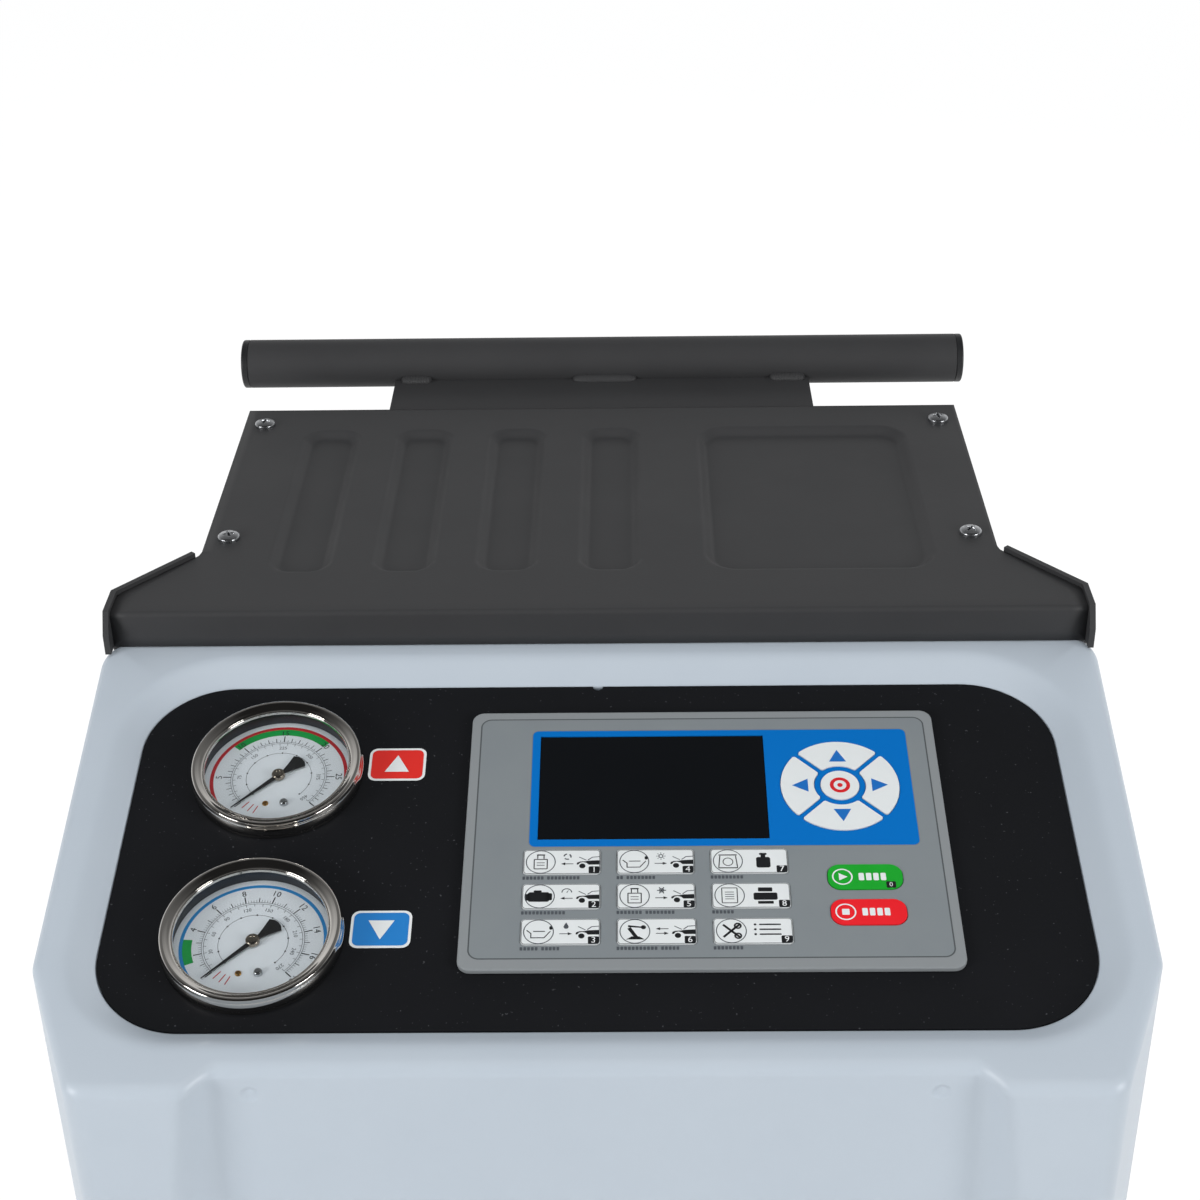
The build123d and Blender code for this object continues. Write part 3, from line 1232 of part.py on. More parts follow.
with BuildPart() as refrigerant_tank:
    tank_plane = Plane(origin=(TANK_X, TANK_Y, TANK_FOOT_Z), x_dir=(1, 0, 0), z_dir=(0, -1, 0))
    neck_z = TANK_HEIGHT - TANK_NECK - TANK_VALVE
    dome = [(1.0, -1.0), (0.95, -0.65), (0.82, -0.36), (0.6, -0.15)]
    knuckle = [(0.94, 0.55), (1.0, 1.0)]
    with BuildSketch(tank_plane):
        with BuildLine():
            Polyline(
                (0, TANK_FOOT + TANK_WALL),
                (TANK_FOOT_R, TANK_FOOT),
                (TANK_FOOT_R, 0),
                (TANK_FOOT_R + TANK_WALL, 0),
                (TANK_FOOT_R + TANK_WALL, TANK_FOOT),
                *[(r * TANK_R, z * TANK_KNUCKLE) for r, z in knuckle],
                *[(r * TANK_R, neck_z + z * TANK_DOME) for r, z in dome],
                (TANK_NECK_R, neck_z),
                (TANK_NECK_R, neck_z + TANK_NECK),
                (TANK_VALVE_R, neck_z + TANK_NECK),
                (TANK_VALVE_R, TANK_HEIGHT),
                (0, TANK_HEIGHT),
                close=True,
            )
        make_face()
        # Inside of the shell, one wall in from its outline
        with BuildLine():
            Polyline(
                (0, TANK_FOOT + 2 * TANK_WALL),
                (TANK_FOOT_R + TANK_WALL, TANK_FOOT + 2 * TANK_WALL),
                *[(r * TANK_R - TANK_WALL, z * TANK_KNUCKLE + TANK_WALL) for r, z in knuckle],
                *[(r * TANK_R - TANK_WALL, neck_z + z * TANK_DOME - TANK_WALL) for r, z in dome],
                (TANK_NECK_R, neck_z - TANK_WALL),
                (0, neck_z - TANK_WALL),
                close=True,
            )
        make_face(mode=Mode.SUBTRACT)
    revolve(axis=Axis((TANK_X, TANK_Y, 0), (0, 0, 1)))
finish(refrigerant_tank, "refrigerant_tank")

# Hermetic compressor on its feet plate
with BuildPart() as compressor:
    here = (COMPRESSOR_X, COMPRESSOR_Y)
    with BuildSketch(Plane.XY.offset(FLOOR_TOP_Z)):
        with Locations(here):
            with GridLocations(
                COMPRESSOR_BASE_WIDTH - 2 * COMPRESSOR_FOOT_INSET,
                COMPRESSOR_BASE_LENGTH - 2 * COMPRESSOR_FOOT_INSET,
                2,
                2,
            ):
                Circle(COMPRESSOR_FOOT_R)
    extrude(amount=COMPRESSOR_FOOT)
    with BuildSketch(Plane.XY.offset(FLOOR_TOP_Z + COMPRESSOR_FOOT)):
        with Locations(here):
            RectangleRounded(COMPRESSOR_BASE_WIDTH, COMPRESSOR_BASE_LENGTH, COMPRESSOR_FOOT_INSET)
    extrude(amount=COMPRESSOR_BASE)
    shell_z = FLOOR_TOP_Z + COMPRESSOR_FOOT + COMPRESSOR_BASE
    crown = [(1.0, -0.55), (0.94, -0.32), (0.78, -0.13), (0.5, 0.0), (0.0, 0.0)]
    with BuildSketch(Plane(origin=(*here, shell_z), x_dir=(1, 0, 0), z_dir=(0, -1, 0))):
        with BuildLine():
            Polyline(
                (0, 0),
                (COMPRESSOR_R, 0),
                *[(r * COMPRESSOR_R, COMPRESSOR_HEIGHT + z * COMPRESSOR_R) for r, z in crown],
                close=True,
            )
        make_face()
    revolve(axis=Axis((*here, 0), (0, 0, 1)))
finish(compressor, "compressor")

# Vacuum pump: motor lying along X with its oil box and feet
with BuildPart() as vacuum_pump:
    pump_z = FLOOR_TOP_Z + PUMP_LIFT + PUMP_R
    with BuildSketch(Plane.XY.offset(FLOOR_TOP_Z)):
        with Locations((PUMP_X, PUMP_Y)):
            RectangleRounded(PUMP_LENGTH + 2 * PUMP_BASE_OVER, PUMP_BASE_WIDTH, PUMP_BASE)
    extrude(amount=PUMP_BASE)
    with BuildSketch(Plane.XY.offset(FLOOR_TOP_Z + PUMP_BASE)):
        with Locations(*[(PUMP_X + x, PUMP_Y) for x in PUMP_FOOT_X]):
            Rectangle(PUMP_FOOT_WIDTH, PUMP_FOOT_LENGTH)
    extrude(amount=PUMP_FOOT)
    with BuildSketch(Plane.YZ.offset(PUMP_X - PUMP_LENGTH / 2)):
        with Locations((PUMP_Y, pump_z)):
            Circle(PUMP_R)
    extrude(amount=PUMP_MOTOR)
    with BuildSketch(Plane.YZ.offset(PUMP_X - PUMP_LENGTH / 2 + PUMP_MOTOR)):
        with Locations((PUMP_Y, pump_z)):
            RectangleRounded(PUMP_BOX_WIDTH, PUMP_BOX_HEIGHT, PUMP_BOX_R)
    extrude(amount=PUMP_BOX_LENGTH)
    with BuildSketch(Plane.XY.offset(pump_z + PUMP_BOX_HEIGHT / 2 - PUMP_BASE)):
        with Locations((PUMP_X + PUMP_FILLER_X, PUMP_Y)):
            Circle(PUMP_FILLER_R)
    extrude(amount=PUMP_FILLER)
finish(vacuum_pump, "vacuum_pump")

# Filter drier in its clamp on the front of the equipment plate
with BuildPart() as filter_drier:
    drier_y = EQUIPMENT_FRONT_Y - DRIER_R - DRIER_STANDOFF
    with BuildSketch(Plane.XY.offset(DRIER_Z)):
        with Locations((DRIER_X, drier_y)):
            Circle(DRIER_R)
    extrude(amount=DRIER_LENGTH)
    chamfer(filter_drier.edges().filter_by(GeomType.CIRCLE), DRIER_CHAMFER)
    with BuildSketch(Plane.XY.offset(DRIER_Z - DRIER_STUB)):
        with Locations((DRIER_X, drier_y)):
            Circle(DRIER_STUB_R)
    extrude(amount=DRIER_LENGTH + 2 * DRIER_STUB)
    with BuildSketch(Plane.XY.offset(DRIER_Z + (DRIER_LENGTH - DRIER_CLAMP) / 2)):
        with Locations((DRIER_X, (EQUIPMENT_FRONT_Y + drier_y) / 2)):
            Rectangle(DRIER_CLAMP_WIDTH, EQUIPMENT_FRONT_Y - drier_y)
    extrude(amount=DRIER_CLAMP)
finish(filter_drier, "filter_drier")

# Valve block with a row of solenoid coils
with BuildPart() as valve_block:
    with BuildSketch(Plane.XZ.offset(-EQUIPMENT_FRONT_Y)):
        with Locations((BLOCK_X, BLOCK_Z)):
            Rectangle(BLOCK_WIDTH, BLOCK_HEIGHT)
    extrude(amount=BLOCK_DEPTH)
    with BuildSketch(Plane.XY.offset(BLOCK_Z + BLOCK_HEIGHT / 2)):
        with Locations((BLOCK_X, EQUIPMENT_FRONT_Y - BLOCK_DEPTH / 2)):
            with GridLocations(BLOCK_WIDTH / COIL_COUNT, 1, COIL_COUNT, 1):
                Circle(COIL_R)
    extrude(amount=COIL_LENGTH)
    with BuildSketch(Plane.XY.offset(BLOCK_Z + BLOCK_HEIGHT / 2 + COIL_LENGTH)):
        with Locations((BLOCK_X, EQUIPMENT_FRONT_Y - BLOCK_DEPTH / 2)):
            with GridLocations(BLOCK_WIDTH / COIL_COUNT, 1, COIL_COUNT, 1):
                Circle(COIL_NUT_R)
    extrude(amount=COIL_NUT)
finish(valve_block, "valve_block")

# Condenser with its fan ring, motor spider and brackets
coil_back_y = CONDENSER_Y + CONDENSER_THICK
ring_y = coil_back_y + SHEET
fan_y = ring_y + FAN_GAP
spider_y = fan_y + FAN_WIDTH + FAN_GAP
fan_face = Plane(origin=(CONDENSER_X, 0, CONDENSER_Z), x_dir=(1, 0, 0), z_dir=(0, -1, 0))
with BuildPart() as condenser:
    with BuildSketch(fan_face.offset(-CONDENSER_Y)):
        Rectangle(CONDENSER_SIZE, CONDENSER_SIZE)
    extrude(amount=-CONDENSER_THICK)
    with BuildSketch(fan_face.offset(-coil_back_y)):
        Rectangle(CONDENSER_SIZE, CONDENSER_SIZE)
        Circle(FAN_R + FAN_TIP_GAP - CONDENSER_FRAME, mode=Mode.SUBTRACT)
    extrude(amount=-SHEET)
    with BuildSketch(fan_face.offset(-ring_y)):
        Circle(FAN_R + FAN_TIP_GAP + SHEET)
        Circle(FAN_R + FAN_TIP_GAP, mode=Mode.SUBTRACT)
    extrude(amount=ring_y - spider_y - SPIDER)
    with BuildSketch(fan_face.offset(-spider_y)):
        with PolarLocations(0, 3):
            with Locations(((FAN_R + FAN_TIP_GAP) / 2 + 0.5, 0)):
                Rectangle(FAN_R + FAN_TIP_GAP + 1, SPIDER_ARM)
        Circle(SPIDER_R)
    extrude(amount=-SPIDER)
    with BuildSketch(fan_face.offset(-spider_y - SPIDER)):
        Circle(MOTOR_R)
    extrude(amount=-MOTOR_LENGTH)
    with BuildSketch(fan_face.offset(-spider_y)):
        Circle(FAN_SHAFT_R)
    extrude(amount=FAN_WIDTH)
    arm_x = CONDENSER_SIZE / 2 - CONDENSER_ARM_INSET
    for side_x in (-arm_x, arm_x):
        with BuildSketch(fan_face.offset(-EQUIPMENT_Y)):
            with Locations((side_x, 0)):
                Rectangle(PLATE, CONDENSER_SIZE * 0.8)
        extrude(amount=EQUIPMENT_Y - CONDENSER_Y)
finish(condenser, "condenser")

# Fan rotor: hub with pitched blades
with BuildPart() as fan_rotor:
    with BuildSketch(fan_face.offset(-fan_y)):
        Circle(FAN_HUB_R)
    extrude(amount=-FAN_WIDTH)
    for index in range(FAN_BLADES):
        root = Location((CONDENSER_X, fan_y + FAN_WIDTH / 2, CONDENSER_Z),
                        (0, index * 360 / FAN_BLADES, 0))
        blade_plane = Plane(root * Location((0, 0, FAN_HUB_R - SPIDER), (0, 0, FAN_PITCH)))
        with BuildSketch(blade_plane):
            Rectangle(FAN_ROOT, FAN_BLADE)
        tip_place = Location((0, 0, FAN_R - 1.5), (0, 0, FAN_PITCH - FAN_TWIST))
        with BuildSketch(Plane(root * tip_place)):
            Rectangle(FAN_TIP, FAN_BLADE)
        loft()
    with BuildSketch(fan_face.offset(-fan_y)):
        Circle(FAN_SHAFT_R + RUNNING_GAP)
    extrude(amount=-FAN_WIDTH, mode=Mode.SUBTRACT)
finish(fan_rotor, "fan_rotor")
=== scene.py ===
"""Looks of a wheeled air conditioning recharge station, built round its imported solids.

Lengths in the working arrays are millimetres and become metres when a mesh is made.
Origin on the floor under the middle, +Z up, the sloping instrument panel facing -Y.
"""

import math

import bmesh
import bpy
import numpy as np
from mathutils import Matrix


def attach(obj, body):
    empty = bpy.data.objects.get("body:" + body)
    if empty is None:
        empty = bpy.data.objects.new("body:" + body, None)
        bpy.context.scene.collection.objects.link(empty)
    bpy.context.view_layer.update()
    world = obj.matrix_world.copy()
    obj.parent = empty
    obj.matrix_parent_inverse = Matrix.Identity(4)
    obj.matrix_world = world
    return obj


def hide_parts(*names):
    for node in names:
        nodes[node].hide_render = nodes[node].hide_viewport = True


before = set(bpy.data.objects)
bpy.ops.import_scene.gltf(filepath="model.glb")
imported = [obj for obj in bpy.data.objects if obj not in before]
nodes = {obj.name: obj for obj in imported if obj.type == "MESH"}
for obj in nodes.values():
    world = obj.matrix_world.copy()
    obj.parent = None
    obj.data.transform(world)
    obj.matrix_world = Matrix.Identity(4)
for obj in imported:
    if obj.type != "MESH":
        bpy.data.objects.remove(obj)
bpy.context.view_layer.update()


# Camera
# The photograph was taken from in front and above, about a metre from the panel,
# with a slight roll. The lens and place come from a fit to the panel and the tray.
pitch, yaw, roll = (math.radians(angle) for angle in (30.825, -0.921, -0.895))
forward = np.array([
    math.sin(yaw) * math.cos(pitch), math.cos(yaw) * math.cos(pitch), -math.sin(pitch)])
level = np.array([math.cos(yaw), -math.sin(yaw), 0.0])
upright = np.cross(level, forward)
camera_x = math.cos(roll) * level + math.sin(roll) * upright
camera_y = -math.sin(roll) * level + math.cos(roll) * upright
camera_data = bpy.data.cameras.new("camera")
camera_data.lens = 64.27
camera_data.sensor_width = 36.0
camera = bpy.data.objects.new("camera", camera_data)
bpy.context.scene.collection.objects.link(camera)
turn = Matrix(np.column_stack([camera_x, camera_y, -forward]).tolist()).to_4x4()
camera.matrix_world = Matrix.Translation((0.0164, -0.9599, 1.5352)) @ turn
bpy.context.scene.camera = camera
bpy.context.scene.view_settings.view_transform = "Standard"


# Studio
# Pale floor and white room with soft lamps overhead. What the camera sees directly is white,
# and the object is lit at a plain level by the lamps and a grey sky.
def to_linear(code):
    """Linear colour of an sRGB hex code: c/12.92 when small, else ((c+0.055)/1.055)^2.4."""
    channels = [int(code[i:i + 2], 16) / 255 for i in (1, 3, 5)]
    bent = [c / 12.92 if c <= 0.04045 else ((c + 0.055) / 1.055) ** 2.4 for c in channels]
    return (*bent, 1.0)


def add_node(tree, kind, settings=None, links=None):
    """Adds one node; settings are properties or input values, links are inputs and sources."""
    node = tree.nodes.new(kind)
    for key, value in (settings or {}).items():
        if isinstance(key, str) and key in node.bl_rna.properties:
            setattr(node, key, value)
        else:
            node.inputs[key].default_value = value
    for key, source in (links or {}).items():
        tree.links.new(source, node.inputs[key])
    return node


world = bpy.data.worlds.new("studio room")
bpy.context.scene.world = world
world.use_nodes = True
room = world.node_tree
room.nodes.clear()
ray = add_node(room, "ShaderNodeLightPath")
height = add_node(room, "ShaderNodeSeparateXYZ",
                  links={0: add_node(room, "ShaderNodeTexCoord").outputs["Generated"]})
# Metal in the photograph reflects a white backdrop behind the object, and a dark room overhead
# and behind the camera
overhead = add_node(room, "ShaderNodeMapRange",
                    {"From Min": 0.15, "From Max": 0.75, "To Min": 0.95, "To Max": 0.16},
                    {"Value": height.outputs["Z"]})
facing_back = add_node(room, "ShaderNodeMapRange",
                       {"From Min": -0.25, "From Max": 0.35, "To Min": 0.1, "To Max": 1.0},
                       {"Value": height.outputs["Y"]})
backdrop = add_node(room, "ShaderNodeMath", {"operation": "MULTIPLY"},
                    {0: overhead.outputs["Result"], 1: facing_back.outputs["Result"]})
lit = add_node(room, "ShaderNodeBackground", {"Color": to_linear("#E2E6EA"), "Strength": 0.4})
seen = add_node(room, "ShaderNodeBackground", {"Color": (1, 1, 1, 1), "Strength": 1.0})
mirrored = add_node(room, "ShaderNodeBackground", {"Color": (1, 1, 1, 1)},
                    {"Strength": backdrop.outputs[0]})
straight = add_node(room, "ShaderNodeMath", {"operation": "MAXIMUM"},
                    {0: ray.outputs["Is Camera Ray"], 1: ray.outputs["Is Transmission Ray"]})
glossy_mix = add_node(room, "ShaderNodeMixShader", links={
    0: ray.outputs["Is Glossy Ray"], 1: lit.outputs[0], 2: mirrored.outputs[0]})
room_mix = add_node(room, "ShaderNodeMixShader", links={
    0: straight.outputs[0], 1: glossy_mix.outputs[0], 2: seen.outputs[0]})
add_node(room, "ShaderNodeOutputWorld", links={"Surface": room_mix.outputs[0]})


def softbox(name, place, aim, size, power):
    """A square lamp at place, pointing at aim: its -Z follows the line between them."""
    data = bpy.data.lights.new(name, "AREA")
    data.shape = "RECTANGLE"
    data.size, data.size_y = size
    data.energy = power
    lamp = bpy.data.objects.new(name, data)
    bpy.context.scene.collection.objects.link(lamp)
    away = np.subtract(place, aim) / np.linalg.norm(np.subtract(place, aim))
    side = np.cross((0.0, 0.0, 1.0), away) + (1e-6, 0, 0)
    side /= np.linalg.norm(side)
    turn = Matrix(np.column_stack([side, np.cross(away, side), away]).tolist()).to_4x4()
    lamp.matrix_world = Matrix.Translation(place) @ turn
    return lamp


softbox("left lamp", (-2.35, -1.75, 1.75), (0.0, -0.2, 0.85), (1.1, 1.1), 43.0)
softbox("right lamp", (2.35, -1.75, 1.75), (0.0, -0.2, 0.85), (1.1, 1.1), 39.0)
# These two only light the object, because its metal shows no lamp overhead or behind
for name, place, aim, size, power in (
        ("overhead lamp", (0.0, -0.7, 3.0), (0.0, -0.1, 0.95), (2.0, 1.2), 14.0),
        ("rear lamp", (1.0, 2.6, 2.0), (0.0, 0.1, 0.7), (1.6, 1.2), 26.0)):
    softbox(name, place, aim, size, power).visible_glossy = False

floor_material = bpy.data.materials.new("pale studio floor")
floor_material.use_nodes = True
tree = floor_material.node_tree
tree.nodes.clear()
ray = add_node(tree, "ShaderNodeLightPath")
paint = add_node(tree, "ShaderNodeBsdfDiffuse", {"Color": to_linear("#F1F2F3")})
white = add_node(tree, "ShaderNodeEmission", {"Strength": 1.09})
plain = add_node(tree, "ShaderNodeMath", {"operation": "MAXIMUM"},
                 {0: ray.outputs["Is Camera Ray"], 1: ray.outputs["Is Transmission Ray"]})
plain = add_node(tree, "ShaderNodeMath", {"operation": "MAXIMUM"},
                 {0: plain.outputs[0], 1: ray.outputs["Is Glossy Ray"]})
direct = add_node(tree, "ShaderNodeMath", {"operation": "MULTIPLY", 1: 0.88}, {0: plain.outputs[0]})
floor_mix = add_node(tree, "ShaderNodeMixShader",
                     links={0: direct.outputs[0], 1: paint.outputs[0], 2: white.outputs[0]})
add_node(tree, "ShaderNodeOutputMaterial", links={"Surface": floor_mix.outputs[0]})


def new_piece(name, points, faces, material, rides=None, crease=40.0):
    """Mesh object from points in millimetres and faces as lists of point numbers.

    Unused points go, points that coincide are merged, and edges over crease degrees stay sharp.
    """
    mesh = bpy.data.meshes.new(name)
    mesh.from_pydata((np.asarray(points, float).reshape(-1, 3) * 0.001).tolist(), [],
                     [list(map(int, face)) for face in faces])
    work = bmesh.new()
    work.from_mesh(mesh)
    bmesh.ops.remove_doubles(work, verts=work.verts, dist=2e-7)
    bmesh.ops.delete(work, geom=[v for v in work.verts if not v.link_faces], context="VERTS")
    work.to_mesh(mesh)
    work.free()
    mesh.shade_smooth()
    mesh.set_sharp_from_angle(angle=math.radians(crease))
    mesh.materials.append(material)
    piece = bpy.data.objects.new(name, mesh)
    bpy.context.scene.collection.objects.link(piece)
    if rides:
        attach(piece, rides)
    return piece


floor = new_piece("floor", [(-6000, -6000, 0), (6000, -6000, 0), (6000, 6000, 0), (-6000, 6000, 0)],
                  [(0, 1, 2, 3)], floor_material)


# Front cover
# One vacuum formed shell of light blue-grey ABS, 4 mm thick. Its corners and folds are soft
# because the sheet was drawn over a mould, and its face is satin with a faint orange peel.
SLOPE = math.radians(12.0)
LIP = np.array([0.0, -23.0, 950.0])
SLOPE_DOWN = np.array([0.0, -math.cos(SLOPE), -math.sin(SLOPE)])
SLOPE_OUT = np.array([0.0, -math.sin(SLOPE), math.cos(SLOPE)])
PANEL_HALF = (226.0, 106.0)
PANEL_S = 129.5
PANEL_R = 43.0
PANEL_SUNK = 8.0


def on_slope(x, s, h=0.0):
    """Point x across and s down the sloping top from the lip, h above the top's plane."""
    x, s, h = np.broadcast_arrays(*(np.asarray(v, float) for v in (x, s, h)))
    return (LIP + x[..., None] * (1, 0, 0) + s[..., None] * SLOPE_DOWN
            + h[..., None] * SLOPE_OUT)


def grid_faces(rows, columns, closed=False, first=0):
    """Quads between neighbouring rows and columns; closed joins the last column to the first."""
    row = np.arange(rows - 1)[:, None] * columns
    here = np.arange(columns if closed else columns - 1)[None, :]
    there = (here + 1) % columns
    quads = np.stack([row + here, row + there, row + columns + there, row + columns + here], -1)
    return quads.reshape(-1, 4) + first


def rounded_outline(corners, radii, spacing):
    """Outline of a convex polygon with tangent arcs at its corners, and its outward normals.

    Each arc's centre lies on the corner's bisector at radius / cos(half the turn).
    """
    corners = np.asarray(corners, float)
    points, normals = [], []
    for index, (corner, radius) in enumerate(zip(corners, radii)):
        before = corner - corners[index - 1]
        after = corners[(index + 1) % len(corners)] - corner
        before, after = before / np.linalg.norm(before), after / np.linalg.norm(after)
        first = math.atan2(-before[0], before[1])
        sweep = math.atan2(before[0] * after[1] - before[1] * after[0], before @ after)
        reach = radius * math.tan(abs(sweep) / 2)
        angles = first + np.linspace(0, 1, max(4, int(radius * abs(sweep) / spacing * 2))) * sweep
        ring = np.column_stack([np.cos(angles), np.sin(angles)])
        centre = corner - before * reach - ring[0] * radius
        arc = centre + ring * radius
        if points:
            gap = np.linalg.norm(arc[0] - points[-1][-1])
            run = np.linspace(0, 1, max(2, int(gap / spacing)) + 1)[1:-1, None]
            points.append(points[-1][-1] * (1 - run) + arc[0] * run)
            normals.append(np.repeat(normals[-1][-1:], len(run), 0))
        points.append(arc)
        normals.append(ring)
    gap = np.linalg.norm(points[0][0] - points[-1][-1])
    run = np.linspace(0, 1, max(2, int(gap / spacing)) + 1)[1:-1, None]
    points.append(points[-1][-1] * (1 - run) + points[0][0] * run)
    normals.append(np.repeat(normals[-1][-1:], len(run), 0))
    return np.concatenate(points), np.concatenate(normals)


def soft_step(t):
    """0 below 0, 1 above 1, and 3t^2 - 2t^3 between."""
    t = np.clip(t, 0, 1)
    return t * t * (3 - 2 * t)


def channel_depth(x, z):
    """Depth of the hollow down the front face: its half widths and depth follow the height."""
    levels = (372.0, 420.0, 825.0, 912.0)
    outer = np.interp(z, levels, (176.0, 190.0, 187.5, 175.0))
    inner = np.interp(z, levels, (160.0, 167.0, 166.0, 162.0))
    deep = np.interp(z, levels[1:], (16.0, 14.0, 10.0)) * soft_step((z - 368.0) / 54.0)
    return deep * soft_step((outer - np.abs(x)) / (outer - inner))


def top_height(y):
    """Height of the cover's top: the sloping plane, level at the back under the tray's lip."""
    return np.minimum(950.0 + (y + 23.0) * math.tan(SLOPE), 949.7)


def dimple_depth(x, z):
    """Two round dimples of 7 mm, 1 mm deep, left by the mould at the head of the hollow."""
    return 1.0 * soft_step((4.3 - np.hypot(np.abs(x) - 149.0, z - 881.0)) / 1.8)


EDGE_R = 5.5
cover_corners = [(256, -14), (-256, -14), (-253, -222), (-225.5, -289), (225.5, -289), (253, -222)]
rim, rim_out = rounded_outline(cover_corners, (20, 20, 14, 11, 11, 14), 2.6)
# Straight stretches at the sides and the back need only every third point
plain = (np.abs(rim[:, 0]) < 180) & (rim[:, 1] > -20) | (np.abs(rim[:, 1] + 130) < 58)
kept = ~plain | (np.arange(len(rim)) % 3 == 0)
rim, rim_out = rim[kept], rim_out[kept]
# and the two shallow dimples at the head of the channel need points a millimetre apart
close = np.concatenate([side * np.arange(143.5, 155, 1.0) for side in (-1, 1)])
close = np.column_stack([close, np.full(len(close), -289.0)])
rim, rim_out = np.concatenate([rim, close]), np.concatenate([rim_out, close * 0 + (0, -1)])
order = np.argsort(np.arctan2(rim[:, 1] + 150, rim[:, 0]))
rim, rim_out = rim[order], rim_out[order]
rim_s = (-23.0 - rim[:, 1]) / math.cos(SLOPE)
# Every point of the rim looks at the nearest point of a core rectangle, and the recess runs at
# the corner radius from that core, so straight stretches face each other squarely
core = np.column_stack([
    np.clip(rim[:, 0], PANEL_R - PANEL_HALF[0], PANEL_HALF[0] - PANEL_R),
    PANEL_S + np.clip(rim_s - PANEL_S, PANEL_R - PANEL_HALF[1], PANEL_HALF[1] - PANEL_R)])
away = np.column_stack([rim[:, 0], rim_s]) - core
away /= np.linalg.norm(away, axis=1)[:, None]
rows = []
# From the ledge under the panel up the soft wall of the recess to the border
for out, sunk in ((-10, -11.05), (0.3, -11.05), (0.35, -8.6), (1.2, -7.9), (3, -6.7), (5, -5.3),
                  (7, -3.9), (9, -2.6), (11, -1.5), (12.6, -0.8), (14.1, -0.36), (15.6, -0.1),
                  (17.4, 0)):
    edge = core + away * (PANEL_R + out)
    rows.append(on_slope(edge[:, 0], edge[:, 1], sunk))
# Round the outer edge, then down the sides to the foot
for angle in np.radians((90, 78, 66, 54, 42, 30, 20, 10, 0)):
    inset = EDGE_R * (1 - math.cos(angle))
    plan = rim - rim_out * inset
    plan[:, 1] += channel_depth(plan[:, 0], top_height(plan[:, 1])) * soft_step(
        (-rim_out[:, 1] - 0.9) / 0.09)
    drop = EDGE_R * (1 - math.sin(angle))
    rows.append(np.column_stack([plan, top_height(plan[:, 1]) - drop]))
front = soft_step((-rim_out[:, 1] - 0.9) / 0.09)
head = rows[-1][:, 2]
for share in np.concatenate([np.linspace(0.003, 0.022, 18), np.linspace(0.027, 0.052, 5),
                             np.linspace(0.06, 0.58, 20), np.linspace(0.588, 0.68, 15),
                             np.linspace(0.72, 1, 6)]):
    z = head * (1 - share) + 108.0 * share
    sunk = channel_depth(rim[:, 0], z) + dimple_depth(rim[:, 0], z)
    rows.append(np.column_stack([rim[:, 0], rim[:, 1] + sunk * front, z]))
shell = np.stack(rows)
faces = grid_faces(len(rows), len(rim), closed=True)
middle = shell.reshape(-1, 3)[faces].mean(1)
# The back is open between two return flanges, because the cabinet stands there
faces = faces[~((np.abs(middle[:, 0]) < 225) & (middle[:, 1] > -15) & (middle[:, 2] < 945))]


def start_material(name):
    """A material with one Principled shader; gives it, its tree, its shader and Object place."""
    material = bpy.data.materials.new(name)
    material.use_nodes = True
    tree = material.node_tree
    tree.nodes.clear()
    shader = add_node(tree, "ShaderNodeBsdfPrincipled")
    add_node(tree, "ShaderNodeOutputMaterial", links={"Surface": shader.outputs[0]})
    place = add_node(tree, "ShaderNodeTexCoord").outputs["Object"]
    return material, tree, shader, place


def finish_of(name, tones, cloud, roughness, grain, relief, specks=None, **sockets):
    """A finish with soft clouds of two near tones, roughness that follows them, and a fine bump.

    cloud, grain and relief are millimetres; specks is (tone, size, share) of dust or flecks.
    """
    material, tree, shader, place = start_material(name)
    clouds = add_node(tree, "ShaderNodeTexNoise",
                      {"Scale": 1000 / cloud, "Detail": 4.0, "Roughness": 0.6}, {"Vector": place})
    tone = add_node(tree, "ShaderNodeMix",
                    {"data_type": "RGBA", 6: to_linear(tones[0]), 7: to_linear(tones[1])},
                    {0: clouds.outputs["Fac"]}).outputs[2]
    if specks:
        dust = add_node(tree, "ShaderNodeTexNoise",
                        {"Scale": 1000 / specks[1], "Detail": 1.0}, {"Vector": place})
        cut = add_node(tree, "ShaderNodeMapRange",
                       {"From Min": 1 - specks[2], "From Max": 1 - specks[2] + 0.05},
                       {"Value": dust.outputs["Fac"]})
        tone = add_node(tree, "ShaderNodeMix", {"data_type": "RGBA", 7: to_linear(specks[0])},
                        {0: cut.outputs["Result"], 6: tone}).outputs[2]
    tree.links.new(tone, shader.inputs["Base Color"])
    rough = add_node(tree, "ShaderNodeMapRange",
                     {"From Min": 0.3, "From Max": 0.7, "To Min": roughness[0], "To Max": roughness[1]},
                     {"Value": clouds.outputs["Fac"]})
    tree.links.new(rough.outputs["Result"], shader.inputs["Roughness"])
    fine = add_node(tree, "ShaderNodeTexNoise",
                    {"Scale": 1000 / grain, "Detail": 2.0}, {"Vector": place})
    bump = add_node(tree, "ShaderNodeBump", {"Strength": 1.0, "Distance": relief * 0.001},
                    {"Height": fine.outputs["Fac"]})
    tree.links.new(bump.outputs["Normal"], shader.inputs["Normal"])
    for key, value in sockets.items():
        shader.inputs[key.replace("_", " ").title().replace("Ior", "IOR")].default_value = value
    return material


# ABS is hard to scratch deep: clouds 90 mm wide are the drawn sheet's uneven gloss
formed_abs = finish_of("formed satin ABS", ("#BAC4CE", "#C1CAD3"), 90, (0.34, 0.42), 1.6, 0.012)
front_cover = new_piece("formed_front_cover", shell, faces[:, ::-1], formed_abs, "cabinet", 60)
wall = front_cover.modifiers.new("sheet thickness", "SOLIDIFY")
wall.thickness = 0.004
wall.offset = -1.0
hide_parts("front_cover")


